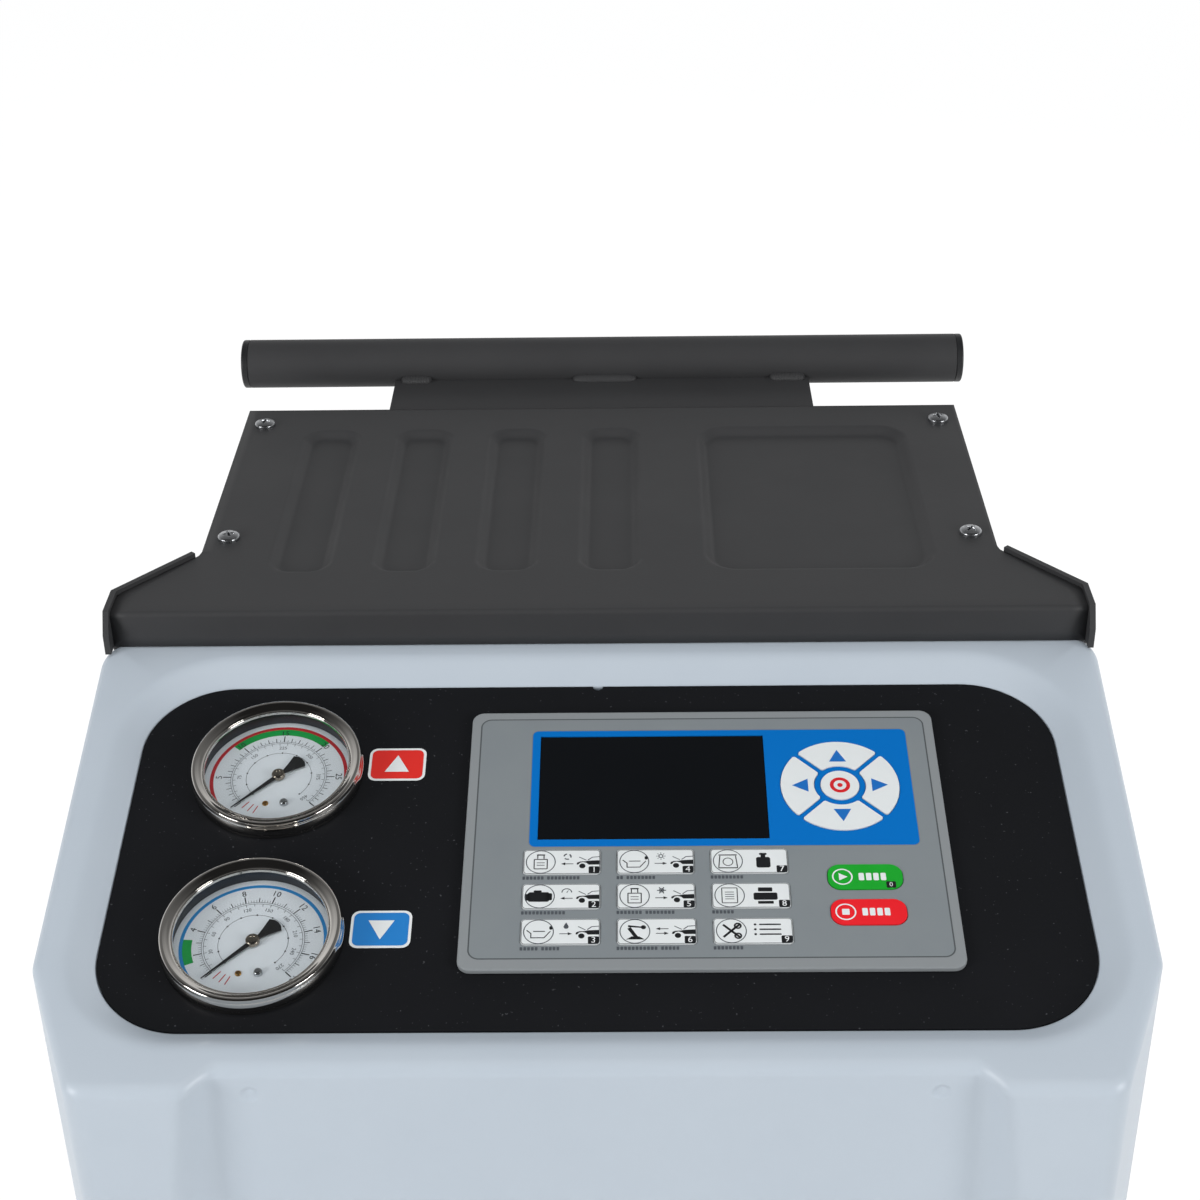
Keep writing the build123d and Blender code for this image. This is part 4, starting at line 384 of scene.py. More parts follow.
# Instrument panel
# A flat steel plate, powder coated satin black, sunk in the cover. Workshop dust shows on it
# as pale specks.
def dress(material, *names):
    """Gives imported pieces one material."""
    for name in names:
        nodes[name].data.materials.clear()
        nodes[name].data.materials.append(material)


panel_coat = finish_of("satin black panel coat", ("#17181A", "#1B1C1F"), 70, (0.46, 0.54), 0.9,
                       0.01, ("#4E4F52", 1.4, 0.255), specular_ior_level=0.08)
dress(panel_coat, "instrument_panel")


# Gauge labels
# Two small printed vinyl labels beside the gauges: red for the high side and blue for the low
# side, each with a plain white pointer.
def fill(name, shapes, height, material, body):
    """Thin print on the panel: every shape is a list of (x, s) corners, height above the panel."""
    sizes = [len(shape) for shape in shapes]
    flat = np.concatenate([np.asarray(shape, float) for shape in shapes])
    starts = np.concatenate([[0], np.cumsum(sizes)[:-1]])
    points = on_slope(flat[:, 0], flat[:, 1], height - PANEL_SUNK)
    # Corners that run clockwise as seen from above are turned round, so that the print faces up
    faces = []
    for start, size in zip(starts, sizes):
        x, s = flat[start:start + size].T
        area = np.sum(x * np.roll(s, -1) - np.roll(x, -1) * s)
        run = list(range(start, start + size))
        faces.append(run[::-1] if area > 0 else run)
    return new_piece(name, points, faces, material, body)


def rounded_bar(x, s, width, length, radius, steps=7):
    """Corners of a rounded rectangle centred at x, s."""
    quarter = np.linspace(0, math.pi / 2, steps)
    angles = np.concatenate([quarter + k * math.pi / 2 for k in range(4)])
    hold = np.repeat([(1, 1), (-1, 1), (-1, -1), (1, -1)], steps, 0)
    return (np.array([x, s]) + hold * (width / 2 - radius, length / 2 - radius)
            + radius * np.column_stack([np.cos(angles), np.sin(angles)]))


def plain_ink(name, tone, rough=0.42):
    """Screen ink: an even tone with a slight mottle of 3 mm."""
    return finish_of(name, (tone, tone), 3, (rough - 0.05, rough + 0.05), 0.5, 0.003)


white_ink = plain_ink("white screen ink", "#E9ECEC")
red_vinyl = plain_ink("red vinyl", "#E4281F")
blue_vinyl = plain_ink("blue vinyl", "#1D7FCB")
for side, s, vinyl, up in (("high", 76.6, red_vinyl, -1), ("low", 179.0, blue_vinyl, 1)):
    fill(f"{side}_side_label_edge", [rounded_bar(-98.5, s, 28, 21.5, 4)], 0.12, white_ink, "cabinet")
    fill(f"{side}_side_label", [rounded_bar(-98.5, s, 25.4, 18.9, 3)], 0.2, vinyl, "cabinet")
    fill(f"{side}_side_label_mark", [[(-98.5, s + up * 6), (-104.5, s - up * 5), (-92.5, s - up * 5)]],
         0.28, white_ink, "cabinet")


# Pressure gauges
# Glycerine type gauges of the 80 mm class: rolled chrome bezel, flat glass, white enamelled dial
# with screen printed scales, a black aluminium pointer on a turned brass hub.
GAUGE_X = -156.6


def turned(profile, centre, axis, side, count=96):
    """A (radius, height) profile turned about an axis: centre + r(cos t a + sin t b) + h axis."""
    axis = np.asarray(axis, float) / np.linalg.norm(axis)
    side = np.asarray(side, float) / np.linalg.norm(side)
    other = np.cross(axis, side)
    t = np.linspace(0, 2 * math.pi, count, endpoint=False)
    spoke = np.cos(t)[:, None] * side + np.sin(t)[:, None] * other
    profile = np.asarray(profile, float)
    return (np.asarray(centre, float) + profile[:, 0, None, None] * spoke[None]
            + profile[:, 1, None, None] * axis)


def turned_piece(name, profile, centre, axis, side, material, body, count=96, crease=40.0):
    """A closed turned piece; its profile runs so that the faces point outwards."""
    points = turned(profile, centre, axis, side, count)
    return new_piece(name, points, grid_faces(len(profile), count, closed=True)[:, ::-1],
                     material, body, crease)


def arc_points(centre, radius, start, end, steps):
    """(r, h) points of an arc in a profile, angles in degrees."""
    t = np.radians(np.linspace(start, end, steps))
    return np.column_stack([centre[0] + radius * np.cos(t), centre[1] + radius * np.sin(t)])


def ring_band(centre, inner, outer, start, end, steps):
    """Quads of a flat band from start to end degrees, counted from +x towards the lip."""
    t = np.radians(np.linspace(start, end, steps + 1))
    near = np.column_stack([centre[0] + inner * np.cos(t), centre[1] - inner * np.sin(t)])
    far = np.column_stack([centre[0] + outer * np.cos(t), centre[1] - outer * np.sin(t)])
    return list(np.stack([near[:-1], far[:-1], far[1:], near[1:]], 1))


def ticks(centre, angles, inner, outer, width):
    """Short printed lines that point at the middle of the dial."""
    t = np.radians(np.asarray(angles, float))[:, None, None]
    along = np.array([inner, outer, outer, inner])[None, :, None]
    across = np.array([-1, -1, 1, 1])[None, :, None] * width / 2
    x = centre[0] + along * np.cos(t) - across * np.sin(t)
    s = centre[1] - along * np.sin(t) - across * np.cos(t)
    return list(np.concatenate([x, s], -1))


def digits(text, x, s, size, turn=0.0):
    """Outlines of numerals set in the plain built-in face, as faces of (x, s) corners."""
    curve = bpy.data.curves.new("numeral", "FONT")
    curve.body = text
    curve.size = size
    curve.resolution_u = 2
    curve.align_x = "CENTER"
    curve.align_y = "CENTER"
    carrier = bpy.data.objects.new("numeral", curve)
    mesh = bpy.data.meshes.new_from_object(carrier)
    corners = np.array([v.co[:2] for v in mesh.vertices])
    cos_t, sin_t = math.cos(turn), math.sin(turn)
    placed = np.column_stack([x + corners[:, 0] * cos_t - corners[:, 1] * sin_t,
                              s - corners[:, 0] * sin_t - corners[:, 1] * cos_t])
    shapes = [placed[list(face.vertices)] for face in mesh.polygons]
    bpy.data.objects.remove(carrier)
    bpy.data.curves.remove(curve)
    bpy.data.meshes.remove(mesh)
    return shapes


chrome = finish_of("polished chrome plate", ("#CFCBC6", "#D8D5D0"), 25, (0.05, 0.1), 4, 0.002,
                   metallic=1.0)
case_steel = finish_of("black lacquered case", ("#1B1F26", "#23272E"), 12, (0.3, 0.4), 0.6, 0.006)
pin_steel = finish_of("turned steel pin", ("#B4B6B9", "#C2C4C6"), 4, (0.1, 0.18), 0.5, 0.004,
                      metallic=1.0)
dial_enamel = finish_of("white dial enamel", ("#E6EAEF", "#ECEFF3"), 20, (0.42, 0.5), 0.4, 0.002)
scale_ink = plain_ink("black scale ink", "#1B1E23")
faint_ink = plain_ink("grey scale ink", "#50565E")
green_ink = plain_ink("green scale ink", "#07A447")
red_ink = plain_ink("red scale ink", "#C4202B")
blue_ink = plain_ink("blue scale ink", "#2389CC")
pointer_coat = finish_of("black pointer lacquer", ("#101113", "#17181A"), 6, (0.34, 0.42), 0.5, 0.003)
hub_brass = finish_of("nickelled hub", ("#8C8378", "#A79C8E"), 5, (0.2, 0.3), 0.5, 0.004, metallic=1.0)
plain_brass = finish_of("turned brass", ("#B98B4A", "#C99C5A"), 4, (0.28, 0.36), 0.5, 0.004,
                        metallic=1.0)

# Window glass: clear, with the reflection that its angle gives
gauge_glass = bpy.data.materials.new("flat gauge glass")
gauge_glass.use_nodes = True
tree = gauge_glass.node_tree
tree.nodes.clear()
clear = add_node(tree, "ShaderNodeBsdfTransparent", {"Color": (0.97, 0.98, 0.98, 1)})
gloss = add_node(tree, "ShaderNodeBsdfPrincipled", {"Roughness": 0.03, "Metallic": 1.0})
# Schlick's rule: 0.03 straight on, growing with the fifth power of 1 - cosine
facing = add_node(tree, "ShaderNodeLayerWeight", {"Blend": 0.5})
grazing = add_node(tree, "ShaderNodeMath", {"operation": "POWER", 1: 5.0},
                   {0: facing.outputs["Facing"]})
mirror = add_node(tree, "ShaderNodeMath", {"operation": "MULTIPLY_ADD", 1: 0.9, 2: 0.03},
                  {0: grazing.outputs[0]})
pane = add_node(tree, "ShaderNodeMixShader",
                links={0: mirror.outputs[0], 1: clear.outputs[0], 2: gloss.outputs[0]})
add_node(tree, "ShaderNodeOutputMaterial", links={"Surface": pane.outputs[0]})

# Round wall, a narrow rolled rim, and a cone that falls inwards to the window
bezel_profile = np.concatenate([
    [(39.6, 0.0), (41.3, 0.0)],
    arc_points((41.3, 0.6), 0.6, -90, 0, 4),
    arc_points((36.3, 4.6), 6.0, -28, 34, 12),
    arc_points((40.0, 8.35), 1.5, 38, 114, 10),
    [(38.2, 8.95), (37.0, 8.4), (36.0, 7.95)],
    arc_points((35.7, 7.3), 0.6, 66, 180, 6),
    [(35.1, 6.1), (38.2, 6.1), (39.6, 5.6), (39.6, 0.0)],
])
for side, gauge_s in (("high_side", 82.6), ("low_side", 184.8)):
    seat = on_slope(GAUGE_X, gauge_s, -PANEL_SUNK)
    bezel = turned_piece(f"{side}_rolled_bezel", bezel_profile, seat, SLOPE_OUT, (1, 0, 0), chrome,
                         "cabinet", 128, 50)
    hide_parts(f"{side}_gauge_bezel")
    dress(case_steel, f"{side}_gauge_case")
    dress(dial_enamel, f"{side}_gauge_dial")
    dress(gauge_glass, f"{side}_gauge_glass")
    centre = (GAUGE_X, gauge_s)
    ink_height = -1.94
    black, faint, green, red = [], [], [], []
    high = side == "high_side"
    top, step = (30, 5) if high else (18, 2)
    unit = 270.0 / top
    black += ticks(centre, 225 - unit * np.arange(0, top + 1, step), 23.6, 27.4, 0.5)
    black += ticks(centre, 225 - unit * np.arange(0, top + 1), 23.6, 26.0, 0.34)
    faint += ticks(centre, 225 - unit * np.arange(0, top + 0.1, 0.5 if high else 0.2), 23.6, 24.9, 0.16)
    faint += ring_band(centre, 23.4, 23.6, -45, 225, 90) + ring_band(centre, 22.5, 22.7, -45, 225, 90)
    faint += ticks(centre, np.linspace(-45, 225, 28), 21.2, 22.5, 0.22)
    faint += ring_band(centre, 15.9, 16.1, -45, 225, 80)
    for angle in np.linspace(225, -45, 11):
        turn_in = math.radians(angle)
        black += [rounded_bar(centre[0] + 16 * math.cos(turn_in), centre[1] - 16 * math.sin(turn_in),
                              0.9, 0.9, 0.45, 3)]
    for value in range(step, top + 1, step):
        angle = math.radians(225 - unit * value)
        x, s = centre[0] + 29.3 * math.cos(angle), centre[1] - 29.3 * math.sin(angle)
        if high or value > 3:
            black += digits(str(value), x, s, 4.4, angle - math.pi / 2)
        inner = (str(value * 15), 19.3, 2.7)
        faint += digits(inner[0], centre[0] + inner[1] * math.cos(angle),
                        centre[1] - inner[1] * math.sin(angle), inner[2], angle - math.pi / 2)
    if high:
        red += ring_band(centre, 32.0, 33.8, -45, 225, 90)
        green += ring_band(centre, 28.1, 32.0, 45, 140, 40)
    else:
        fill("low_side_dial_blue_band", ring_band(centre, 32.2, 33.8, -45, 225, 90), ink_height,
             blue_ink, "cabinet")
        green += ring_band(centre, 28.0, 32.2, 176.5, 203.3, 14)
    red += ticks(centre, (232, 240, 247), 20.5, 25.5, 0.5)
    fill(f"{side}_dial_green_zone", green, ink_height, green_ink, "cabinet")
    fill(f"{side}_dial_red_band", red, ink_height, red_ink, "cabinet")
    fill(f"{side}_dial_fine_scale", faint, ink_height + 0.02, faint_ink, "cabinet")
    fill(f"{side}_dial_scale", black, ink_height + 0.04, scale_ink, "cabinet")
    # Rivet of the dial and the stop pin for the pointer
    rivet = np.concatenate([[(1.5, 0.0), (1.5, 0.3)], arc_points((0.9, 0.3), 0.6, 0, 90, 5),
                            [(0.6, 0.9), (0.5, 0.5), (0, 0.5)]])
    turned_piece(f"{side}_dial_rivet", rivet, on_slope(GAUGE_X - 4.6, gauge_s + 17.4, -10.0),
                 SLOPE_OUT, (1, 0, 0), plain_brass, "cabinet", 24)
    pin = np.concatenate([[(2.1, 0.0), (2.1, 0.9)], arc_points((0.8, 0.9), 1.3, 0, 90, 8), [(0, 2.25)]])
    turned_piece(f"{side}_pointer_stop", pin, on_slope(GAUGE_X + 4.4, gauge_s + 17.2, -10.0),
                 SLOPE_OUT, (1, 0, 0), pin_steel, "cabinet", 32)
    # Pointer: stamped blade with a broad tail, on a domed hub
    angle = math.radians(225)
    along = np.array([math.cos(angle), -math.sin(angle)])
    across = np.array([-along[1], along[0]])
    blade = [(29.5, 0.12), (4, 1.05), (0, 1.35), (-4, 1.1), (-8, 2.4), (-13.2, 4.4), (-14.6, 2.4),
             (-15.0, 0.0), (-14.6, -2.4), (-13.2, -4.4), (-8, -2.4), (-4, -1.1), (0, -1.35),
             (4, -1.05), (29.5, -0.12)]
    flat = np.array([np.array(centre) + a * along + c * across for a, c in blade])
    top_ring = on_slope(flat[:, 0], flat[:, 1], -PANEL_SUNK - 0.35)
    low_ring = on_slope(flat[:, 0], flat[:, 1], -PANEL_SUNK - 0.95)
    count = len(blade)
    around = [(k, (k + 1) % count, (k + 1) % count + count, k + count) for k in range(count)]
    plate = new_piece(f"{side}_pointer_blade", np.concatenate([top_ring, low_ring]),
                      [range(count)[::-1], range(count, 2 * count)] + around, pointer_coat,
                      f"{side}_gauge_pointer")
    hub_profile = np.concatenate([[(3.3, 0.0), (3.3, 1.2)], arc_points((2.1, 1.2), 1.2, 0, 80, 6),
                                  [(1.4, 2.45), (1.2, 2.2), (0, 2.2)]])
    hub = turned_piece(f"{side}_pointer_hub", hub_profile, on_slope(GAUGE_X, gauge_s, -9.0),
                       SLOPE_OUT, (1, 0, 0), hub_brass, f"{side}_gauge_pointer", 40)
    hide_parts(f"{side}_gauge_pointer")


# Keypad panel
# Grey plate under a printed film of polyester: a blue field round the display and the arrow keys and a paler
# rim, with painted shade as a thin dark line in the groove near the edge. The print is drawn from the place on
# the panel.
material, tree, shader, place = start_material("printed polyester film with painted groove shade")
keypad_film = material
local = add_node(tree, "ShaderNodeVectorMath", {"operation": "SUBTRACT", 1: tuple(LIP * 0.001)},
                 {0: place}).outputs[0]
film_x = add_node(tree, "ShaderNodeSeparateXYZ", links={0: local}).outputs["X"]
film_s = add_node(tree, "ShaderNodeVectorMath", {"operation": "DOT_PRODUCT", 1: tuple(SLOPE_DOWN)},
                  {0: local}).outputs["Value"]


def rounded_field(x, s, width, length, radius):
    """Signed distance in metres to a rounded rectangle on the panel, below 0 inside.

    With q = |p - middle| - half + radius it is |max(q, 0)| + min(max(qx, qs), 0) - radius.
    """
    sides = []
    for socket, middle, half in ((film_x, x, width / 2), (film_s, s, length / 2)):
        shifted = add_node(tree, "ShaderNodeMath", {"operation": "SUBTRACT", 1: middle * 0.001},
                           {0: socket}).outputs[0]
        size = add_node(tree, "ShaderNodeMath", {"operation": "ABSOLUTE"}, {0: shifted}).outputs[0]
        sides.append(add_node(tree, "ShaderNodeMath",
                              {"operation": "SUBTRACT", 1: (half - radius) * 0.001},
                              {0: size}).outputs[0])
    outer = [add_node(tree, "ShaderNodeMath", {"operation": "MAXIMUM", 1: 0.0}, {0: side}).outputs[0]
             for side in sides]
    both = add_node(tree, "ShaderNodeCombineXYZ", links={0: outer[0], 1: outer[1]}).outputs[0]
    corner = add_node(tree, "ShaderNodeVectorMath", {"operation": "LENGTH"}, {0: both}).outputs["Value"]
    inner = add_node(tree, "ShaderNodeMath", {"operation": "MAXIMUM"}, {0: sides[0], 1: sides[1]})
    inner = add_node(tree, "ShaderNodeMath", {"operation": "MINIMUM", 1: 0.0}, {0: inner.outputs[0]})
    total = add_node(tree, "ShaderNodeMath", {"operation": "ADD"}, {0: corner, 1: inner.outputs[0]})
    return add_node(tree, "ShaderNodeMath", {"operation": "SUBTRACT", 1: radius * 0.001},
                    {0: total.outputs[0]}).outputs[0]


def within(distance, low, high):
    """1 where a distance in metres lies between low and high millimetres, else 0."""
    above = add_node(tree, "ShaderNodeMath", {"operation": "GREATER_THAN", 1: low * 0.001},
                     {0: distance}).outputs[0]
    below = add_node(tree, "ShaderNodeMath", {"operation": "LESS_THAN", 1: high * 0.001},
                     {0: distance}).outputs[0]
    return add_node(tree, "ShaderNodeMath", {"operation": "MULTIPLY"}, {0: above, 1: below}).outputs[0]


edge = rounded_field(52.0, 124.0, 219.4, 149.0, 5.0)
field = rounded_field(60.2, 95.1, 184.3, 75.1, 3.0)
mottle = add_node(tree, "ShaderNodeTexNoise", {"Scale": 40.0, "Detail": 3.0}, {"Vector": place})
tone = add_node(tree, "ShaderNodeMix",
                {"data_type": "RGBA", 6: to_linear("#80868A"), 7: to_linear("#878D8F")},
                {0: mottle.outputs["Fac"]}).outputs[2]
# The #55595B line at the groove's outline is painted shade in the groove between rim and film; the other tones
# are print
for mask, code in ((within(edge, 0.0, 30.0), "#8C9092"), (within(edge, -0.35, 0.35), "#55595B"),
                   (within(field, -200.0, 0.0), "#006FC2"), (within(field, 0.0, 0.35), "#6F7A84")):
    tone = add_node(tree, "ShaderNodeMix", {"data_type": "RGBA", 7: to_linear(code)},
                    {0: mask, 6: tone}).outputs[2]
tree.links.new(tone, shader.inputs["Base Color"])
grain = add_node(tree, "ShaderNodeTexNoise", {"Scale": 2200.0, "Detail": 1.0}, {"Vector": place})
bump = add_node(tree, "ShaderNodeBump", {"Strength": 0.5, "Distance": 0.00001},
                {"Height": grain.outputs["Fac"]})
tree.links.new(bump.outputs["Normal"], shader.inputs["Normal"])
shader.inputs["Roughness"].default_value = 0.46
shader.inputs["Specular IOR Level"].default_value = 0.1
dress(keypad_film, "keypad_panel")

display_glass = finish_of("dark display glass", ("#04070B", "#070A0F"), 60, (0.08, 0.12), 30, 0.002,
                          specular_ior_level=0.3)
dress(display_glass, "display_window")


# Keys
# Embossed windows of the film over tact switches. White keys carry small pictograms in black
# and a number tab; start is green, stop red, the four arrows are blue on white.
key_white = finish_of("white key film", ("#E2E6E6", "#E9ECEC"), 12, (0.42, 0.5), 0.4, 0.003)
key_green = finish_of("green key film", ("#00A01D", "#05AB27"), 12, (0.4, 0.48), 0.4, 0.003)
key_red = finish_of("red key film", ("#EC0C1B", "#F31423"), 12, (0.4, 0.48), 0.4, 0.003)
key_ink = plain_ink("black key ink", "#15171A")
line_ink = plain_ink("grey key ink", "#4A4F55")
arrow_blue = plain_ink("blue key ink", "#0B6CC0")
KEY_TOP = 3.4
INK = KEY_TOP + 0.04


def arrow(x, s, length, left):
    """A thin arrow lying along x, with its head left or right."""
    hand = -1 if left else 1
    tip = x + hand * length / 2
    tail = x - hand * length / 2
    neck = tip - hand * 2.0
    return [[(tail, s - 0.2), (neck, s - 0.2), (neck, s + 0.2), (tail, s + 0.2)],
            [(neck, s - 0.85), (tip, s), (neck, s + 0.85)]]


def moved(shapes, x, s, factor=1.0):
    """Shapes drawn round 0, 0, enlarged and set down at x, s."""
    return [np.asarray(shape, float) * factor + (x, s) for shape in shapes]


def frame_line(x, s, width, length, radius, line):
    """A thin line round a rounded rectangle, as quads between its two outlines."""
    outer = rounded_bar(x, s, width, length, radius, 5)
    inner = rounded_bar(x, s, width - 2 * line, length - 2 * line, radius - line, 5)
    return list(np.stack([outer, np.roll(outer, -1, 0), np.roll(inner, -1, 0), inner], 1))


# Front of a plain car from the side: heavy bumper and wheel, thin raised bonnet and roof line
vehicle_dark = [
    [(-1.2, -0.3), (0.2, -0.7), (5.5, -0.9), (5.5, 1.7), (0.4, 1.7), (-0.6, 0.7)],
    [(-5.3, 1.5), (-5.0, 0.4), (-3.6, -0.2), (-1.2, -0.3), (-0.6, 0.7), (-2.2, 0.2), (-3.6, 0.5),
     (-4.6, 1.7)],
    rounded_bar(-2.6, 2.5, 2.9, 2.9, 1.44, 5),
]
vehicle_faint = [
    [(-4.3, -2.8), (-4.0, -3.1), (-0.6, -1.1), (-0.9, -0.8)],
    [(-0.2, -1.2), (2.0, -3.0), (5.5, -3.3), (5.5, -2.9), (2.2, -2.6), (0.3, -1.0)],
]
# Signs above the arrows: turning arcs, a dial, a drop, a sun and a star
arrow_signs = [
    ring_band((0, 0), 1.25, 1.95, 100, 175, 8) + ring_band((0, 0), 1.25, 1.95, 220, 295, 8)
    + ring_band((0, 0), 1.25, 1.95, 340, 415, 8),
    ring_band((0, 1), 2.0, 2.5, 0, 180, 16) + [[(-0.3, 1.0), (1.1, -0.9), (0.3, 1.0)]],
    [[(0, -2.1), (0.9, -0.4), (1.2, 0.5), (0.8, 1.3), (0, 1.6), (-0.8, 1.3), (-1.2, 0.5), (-0.9, -0.4)]],
    ring_band((0, 0), 0.7, 1.2, 0, 360, 16) + ticks((0, 0), range(0, 360, 45), 1.5, 2.2, 0.35),
    ticks((0, 0), range(0, 360, 60), 0.0, 2.1, 0.5) + ring_band((0, 0), 0.9, 1.25, 0, 360, 12),
    [],
]
# Beside the last three rings: a test weight, a printer and a list
side_marks = [
    [rounded_bar(0, 0.9, 6.6, 6.4, 1.1), rounded_bar(0, -2.9, 2.2, 1.8, 0.3, 3),
     rounded_bar(0, -4.2, 3.6, 1.2, 0.5, 3)],
    [rounded_bar(0, 0.6, 11.0, 4.2, 0.8), rounded_bar(0, -3.4, 6.6, 2.4, 0.3, 3),
     rounded_bar(0, 4.2, 7.2, 1.6, 0.3, 3)],
    [rounded_bar(1.2, k, 10.0, 0.8, 0.38, 3) for k in (-3.6, -0.8, 2.0)]
    + [rounded_bar(-5.6, k, 1.2, 1.2, 0.59, 4) for k in (-3.6, -0.8, 2.0)],
]


def canister(x, s):
    """Outline of a gas bottle: a rounded body with its collar, as thin bars."""
    return [rounded_bar(x, s + 3.4, 5.2, 0.4, 0.19, 2), rounded_bar(x, s - 1.3, 5.2, 0.4, 0.19, 2),
            rounded_bar(x - 2.5, s + 1, 0.4, 5.0, 0.19, 2), rounded_bar(x + 2.5, s + 1, 0.4, 5.0, 0.19, 2),
            rounded_bar(x - 1.2, s - 2.6, 0.4, 2.2, 0.19, 2), rounded_bar(x + 1.2, s - 2.6, 0.4, 2.2, 0.19, 2),
            rounded_bar(x, s - 3.5, 3.4, 0.6, 0.29, 2), rounded_bar(x, s + 0.4, 3.2, 0.3, 0.14, 2),
            rounded_bar(x, s + 1.6, 3.2, 0.3, 0.14, 2)]


def oil_can(x, s):
    """Outline of an oil can with its spout and a drop."""
    return [[(x - 4.6, s - 0.6), (x - 3.0, s + 0.9), (x - 3.0, s + 3.0), (x + 2.2, s + 3.0),
             (x + 4.6, s - 0.2), (x + 4.3, s - 0.4), (x + 2.0, s + 2.6), (x - 2.6, s + 2.6),
             (x - 2.6, s + 0.7), (x - 4.3, s - 0.9)],
            rounded_bar(x + 0.2, s - 0.2, 4.6, 0.4, 0.19, 2), rounded_bar(x + 4.6, s - 1.8, 1.2, 1.7, 0.55, 4)]


def compressor_mark(x, s):
    """Solid side view of a small compressor."""
    return [rounded_bar(x - 0.4, s + 0.3, 8.2, 4.6, 0.9), rounded_bar(x + 3.6, s + 0.2, 2.2, 3.4, 0.6),
            rounded_bar(x - 4.6, s + 0.4, 1.6, 3.2, 0.4), rounded_bar(x - 0.8, s - 2.3, 3.0, 1.2, 0.4)]


def scales_mark(x, s):
    """Outline of a platform scale with its dial."""
    return [rounded_bar(x, s - 3.0, 7.2, 0.5, 0.2, 2), rounded_bar(x, s + 3.4, 7.6, 0.5, 0.2, 2),
            [(x - 3.2, s - 2.6), (x - 2.8, s - 2.6), (x - 3.4, s + 3.2), (x - 3.8, s + 3.2)],
            [(x + 3.2, s - 2.6), (x + 2.8, s - 2.6), (x + 3.4, s + 3.2), (x + 3.8, s + 3.2)]] + \
        ring_band((x, s + 0.4), 1.7, 2.05, 0, 360, 20)


def sheet_mark(x, s):
    """Outline of a paper sheet with lines."""
    lines = [rounded_bar(x, s + k, 3.6, 0.3, 0.14, 2) for k in (-1.6, -0.5, 0.6, 1.7)]
    return lines + [rounded_bar(x, s - 3.6, 6, 0.36, 0.17, 2), rounded_bar(x, s + 3.6, 6, 0.36, 0.17, 2),
                    rounded_bar(x - 2.9, s, 0.36, 7.2, 0.17, 2), rounded_bar(x + 2.9, s, 0.36, 7.2, 0.17, 2)]


def spanner_mark(x, s):
    """Two crossed bars with round ends."""
    shapes = []
    for hand in (-1, 1):
        a, c = np.array([0.72, 0.69 * hand]), np.array([-0.69 * hand, 0.72])
        shapes.append([tuple(np.array([x, s]) + u * 4.2 * a + w * 0.45 * c)
                       for u, w in ((-1, -1), (1, -1), (1, 1), (-1, 1))])
        shapes += ring_band((x + 3.4 * a[0], s + 3.4 * a[1]), 0.8, 1.5, 0, 360, 14)
    return shapes


def robot_mark(x, s):
    """Jointed arm on a foot."""
    return [[(x - 3.4, s + 3.8), (x - 1.2, s + 2.4), (x + 1.6, s + 2.4), (x + 3.6, s + 3.8)],
            [(x - 0.4, s + 2.6), (x - 2.8, s - 1.2), (x - 1.6, s - 2.0), (x + 1.2, s + 2.6)],
            [(x - 2.6, s - 2.0), (x - 2.4, s - 2.9), (x + 2.6, s - 2.2), (x + 2.6, s - 1.6)],
            rounded_bar(x + 3.2, s - 1.9, 1.9, 1.9, 0.9, 4)]


ring_marks = (canister, compressor_mark, oil_can, oil_can, canister, robot_mark, scales_mark,
              sheet_mark, spanner_mark)
caption_words = ((6, 9), (12,), (5, 5), (2, 8), (7, 8), (11, 5), (9,), (6,), (8,))
for index, mark in enumerate(ring_marks):
    column, line = divmod(index, 3)
    x, s = 27.6 + (column - 1) * 43.8, 163.0 + (line - 1) * 20.6
    name = f"function_key_{index + 1}"
    dress(key_white, name)
    dark = moved(mark(0, 0), x - 9.9, s, 1.22)
    faint = ring_band((x - 9.9, s), 6.55, 7.0, 0, 360, 48) + frame_line(x, s, 35.7, 14.3, 1.7, 0.3)
    if index < 6:
        dark += arrow(x + 2.5, s + 1.2, 5.8, left=index in (0, 1)) + moved(vehicle_dark, x + 12.2, s)
        faint += moved(vehicle_faint, x + 12.2, s)
        if index == 5:
            dark += arrow(x + 2.5, s - 1.4, 5.8, left=True)
        faint += moved(arrow_signs[index], x + 2.6, s - 3.2)
    else:
        dark += moved(side_marks[index - 6], x + 6.6, s)
    dark += [rounded_bar(x + 15.1, s + 4.9, 5.0, 4.2, 0.6, 4)]
    fill(f"{name}_marks", dark, INK, key_ink, name)
    fill(f"{name}_rings", faint, INK, line_ink, name)
    fill(f"{name}_number", digits(str(index + 1), x + 15.1, s + 4.9, 4.8), INK + 0.05, white_ink, name)
    # Plain blocks stand in the place of the caption's letters
    blocks, at = [], x - 17.6
    for count in caption_words[index]:
        blocks += [rounded_bar(at + 1.72 * k, s + 9.35, 1.2, 1.9, 0.2, 2) for k in range(count)]
        at += 1.72 * count + 1.2
    fill(f"{name}_caption", blocks, 3.05, line_ink, "cabinet")

for name, s, film in (("start_key", 152.3, key_green), ("stop_key", 173.0, key_red)):
    dress(film, name)
    x = 124.8
    white = ring_band((x - 10.6, s), 4.1, 4.8, 0, 360, 36)
    if name == "start_key":
        white += [[(x - 12.2, s - 2.2), (x - 8.2, s), (x - 12.2, s + 2.2)]]
        fill("start_key_tab", [rounded_bar(x + 11.6, s + 4.8, 4.4, 3.8, 0.5, 4)], INK, key_ink, name)
        fill("start_key_number", digits("0", x + 11.6, s + 4.8, 3.6), INK + 0.05, white_ink, name)
    else:
        white += [rounded_bar(x - 10.6, s, 3.4, 3.4, 0.3, 3)]
    # Four plain blocks stand in the place of the word on the key
    white += [rounded_bar(x - 1.8 + 3.4 * k, s, 2.5, 4.4, 0.5, 4) for k in range(4)]
    fill(f"{name}_marks", white, INK, white_ink, name)

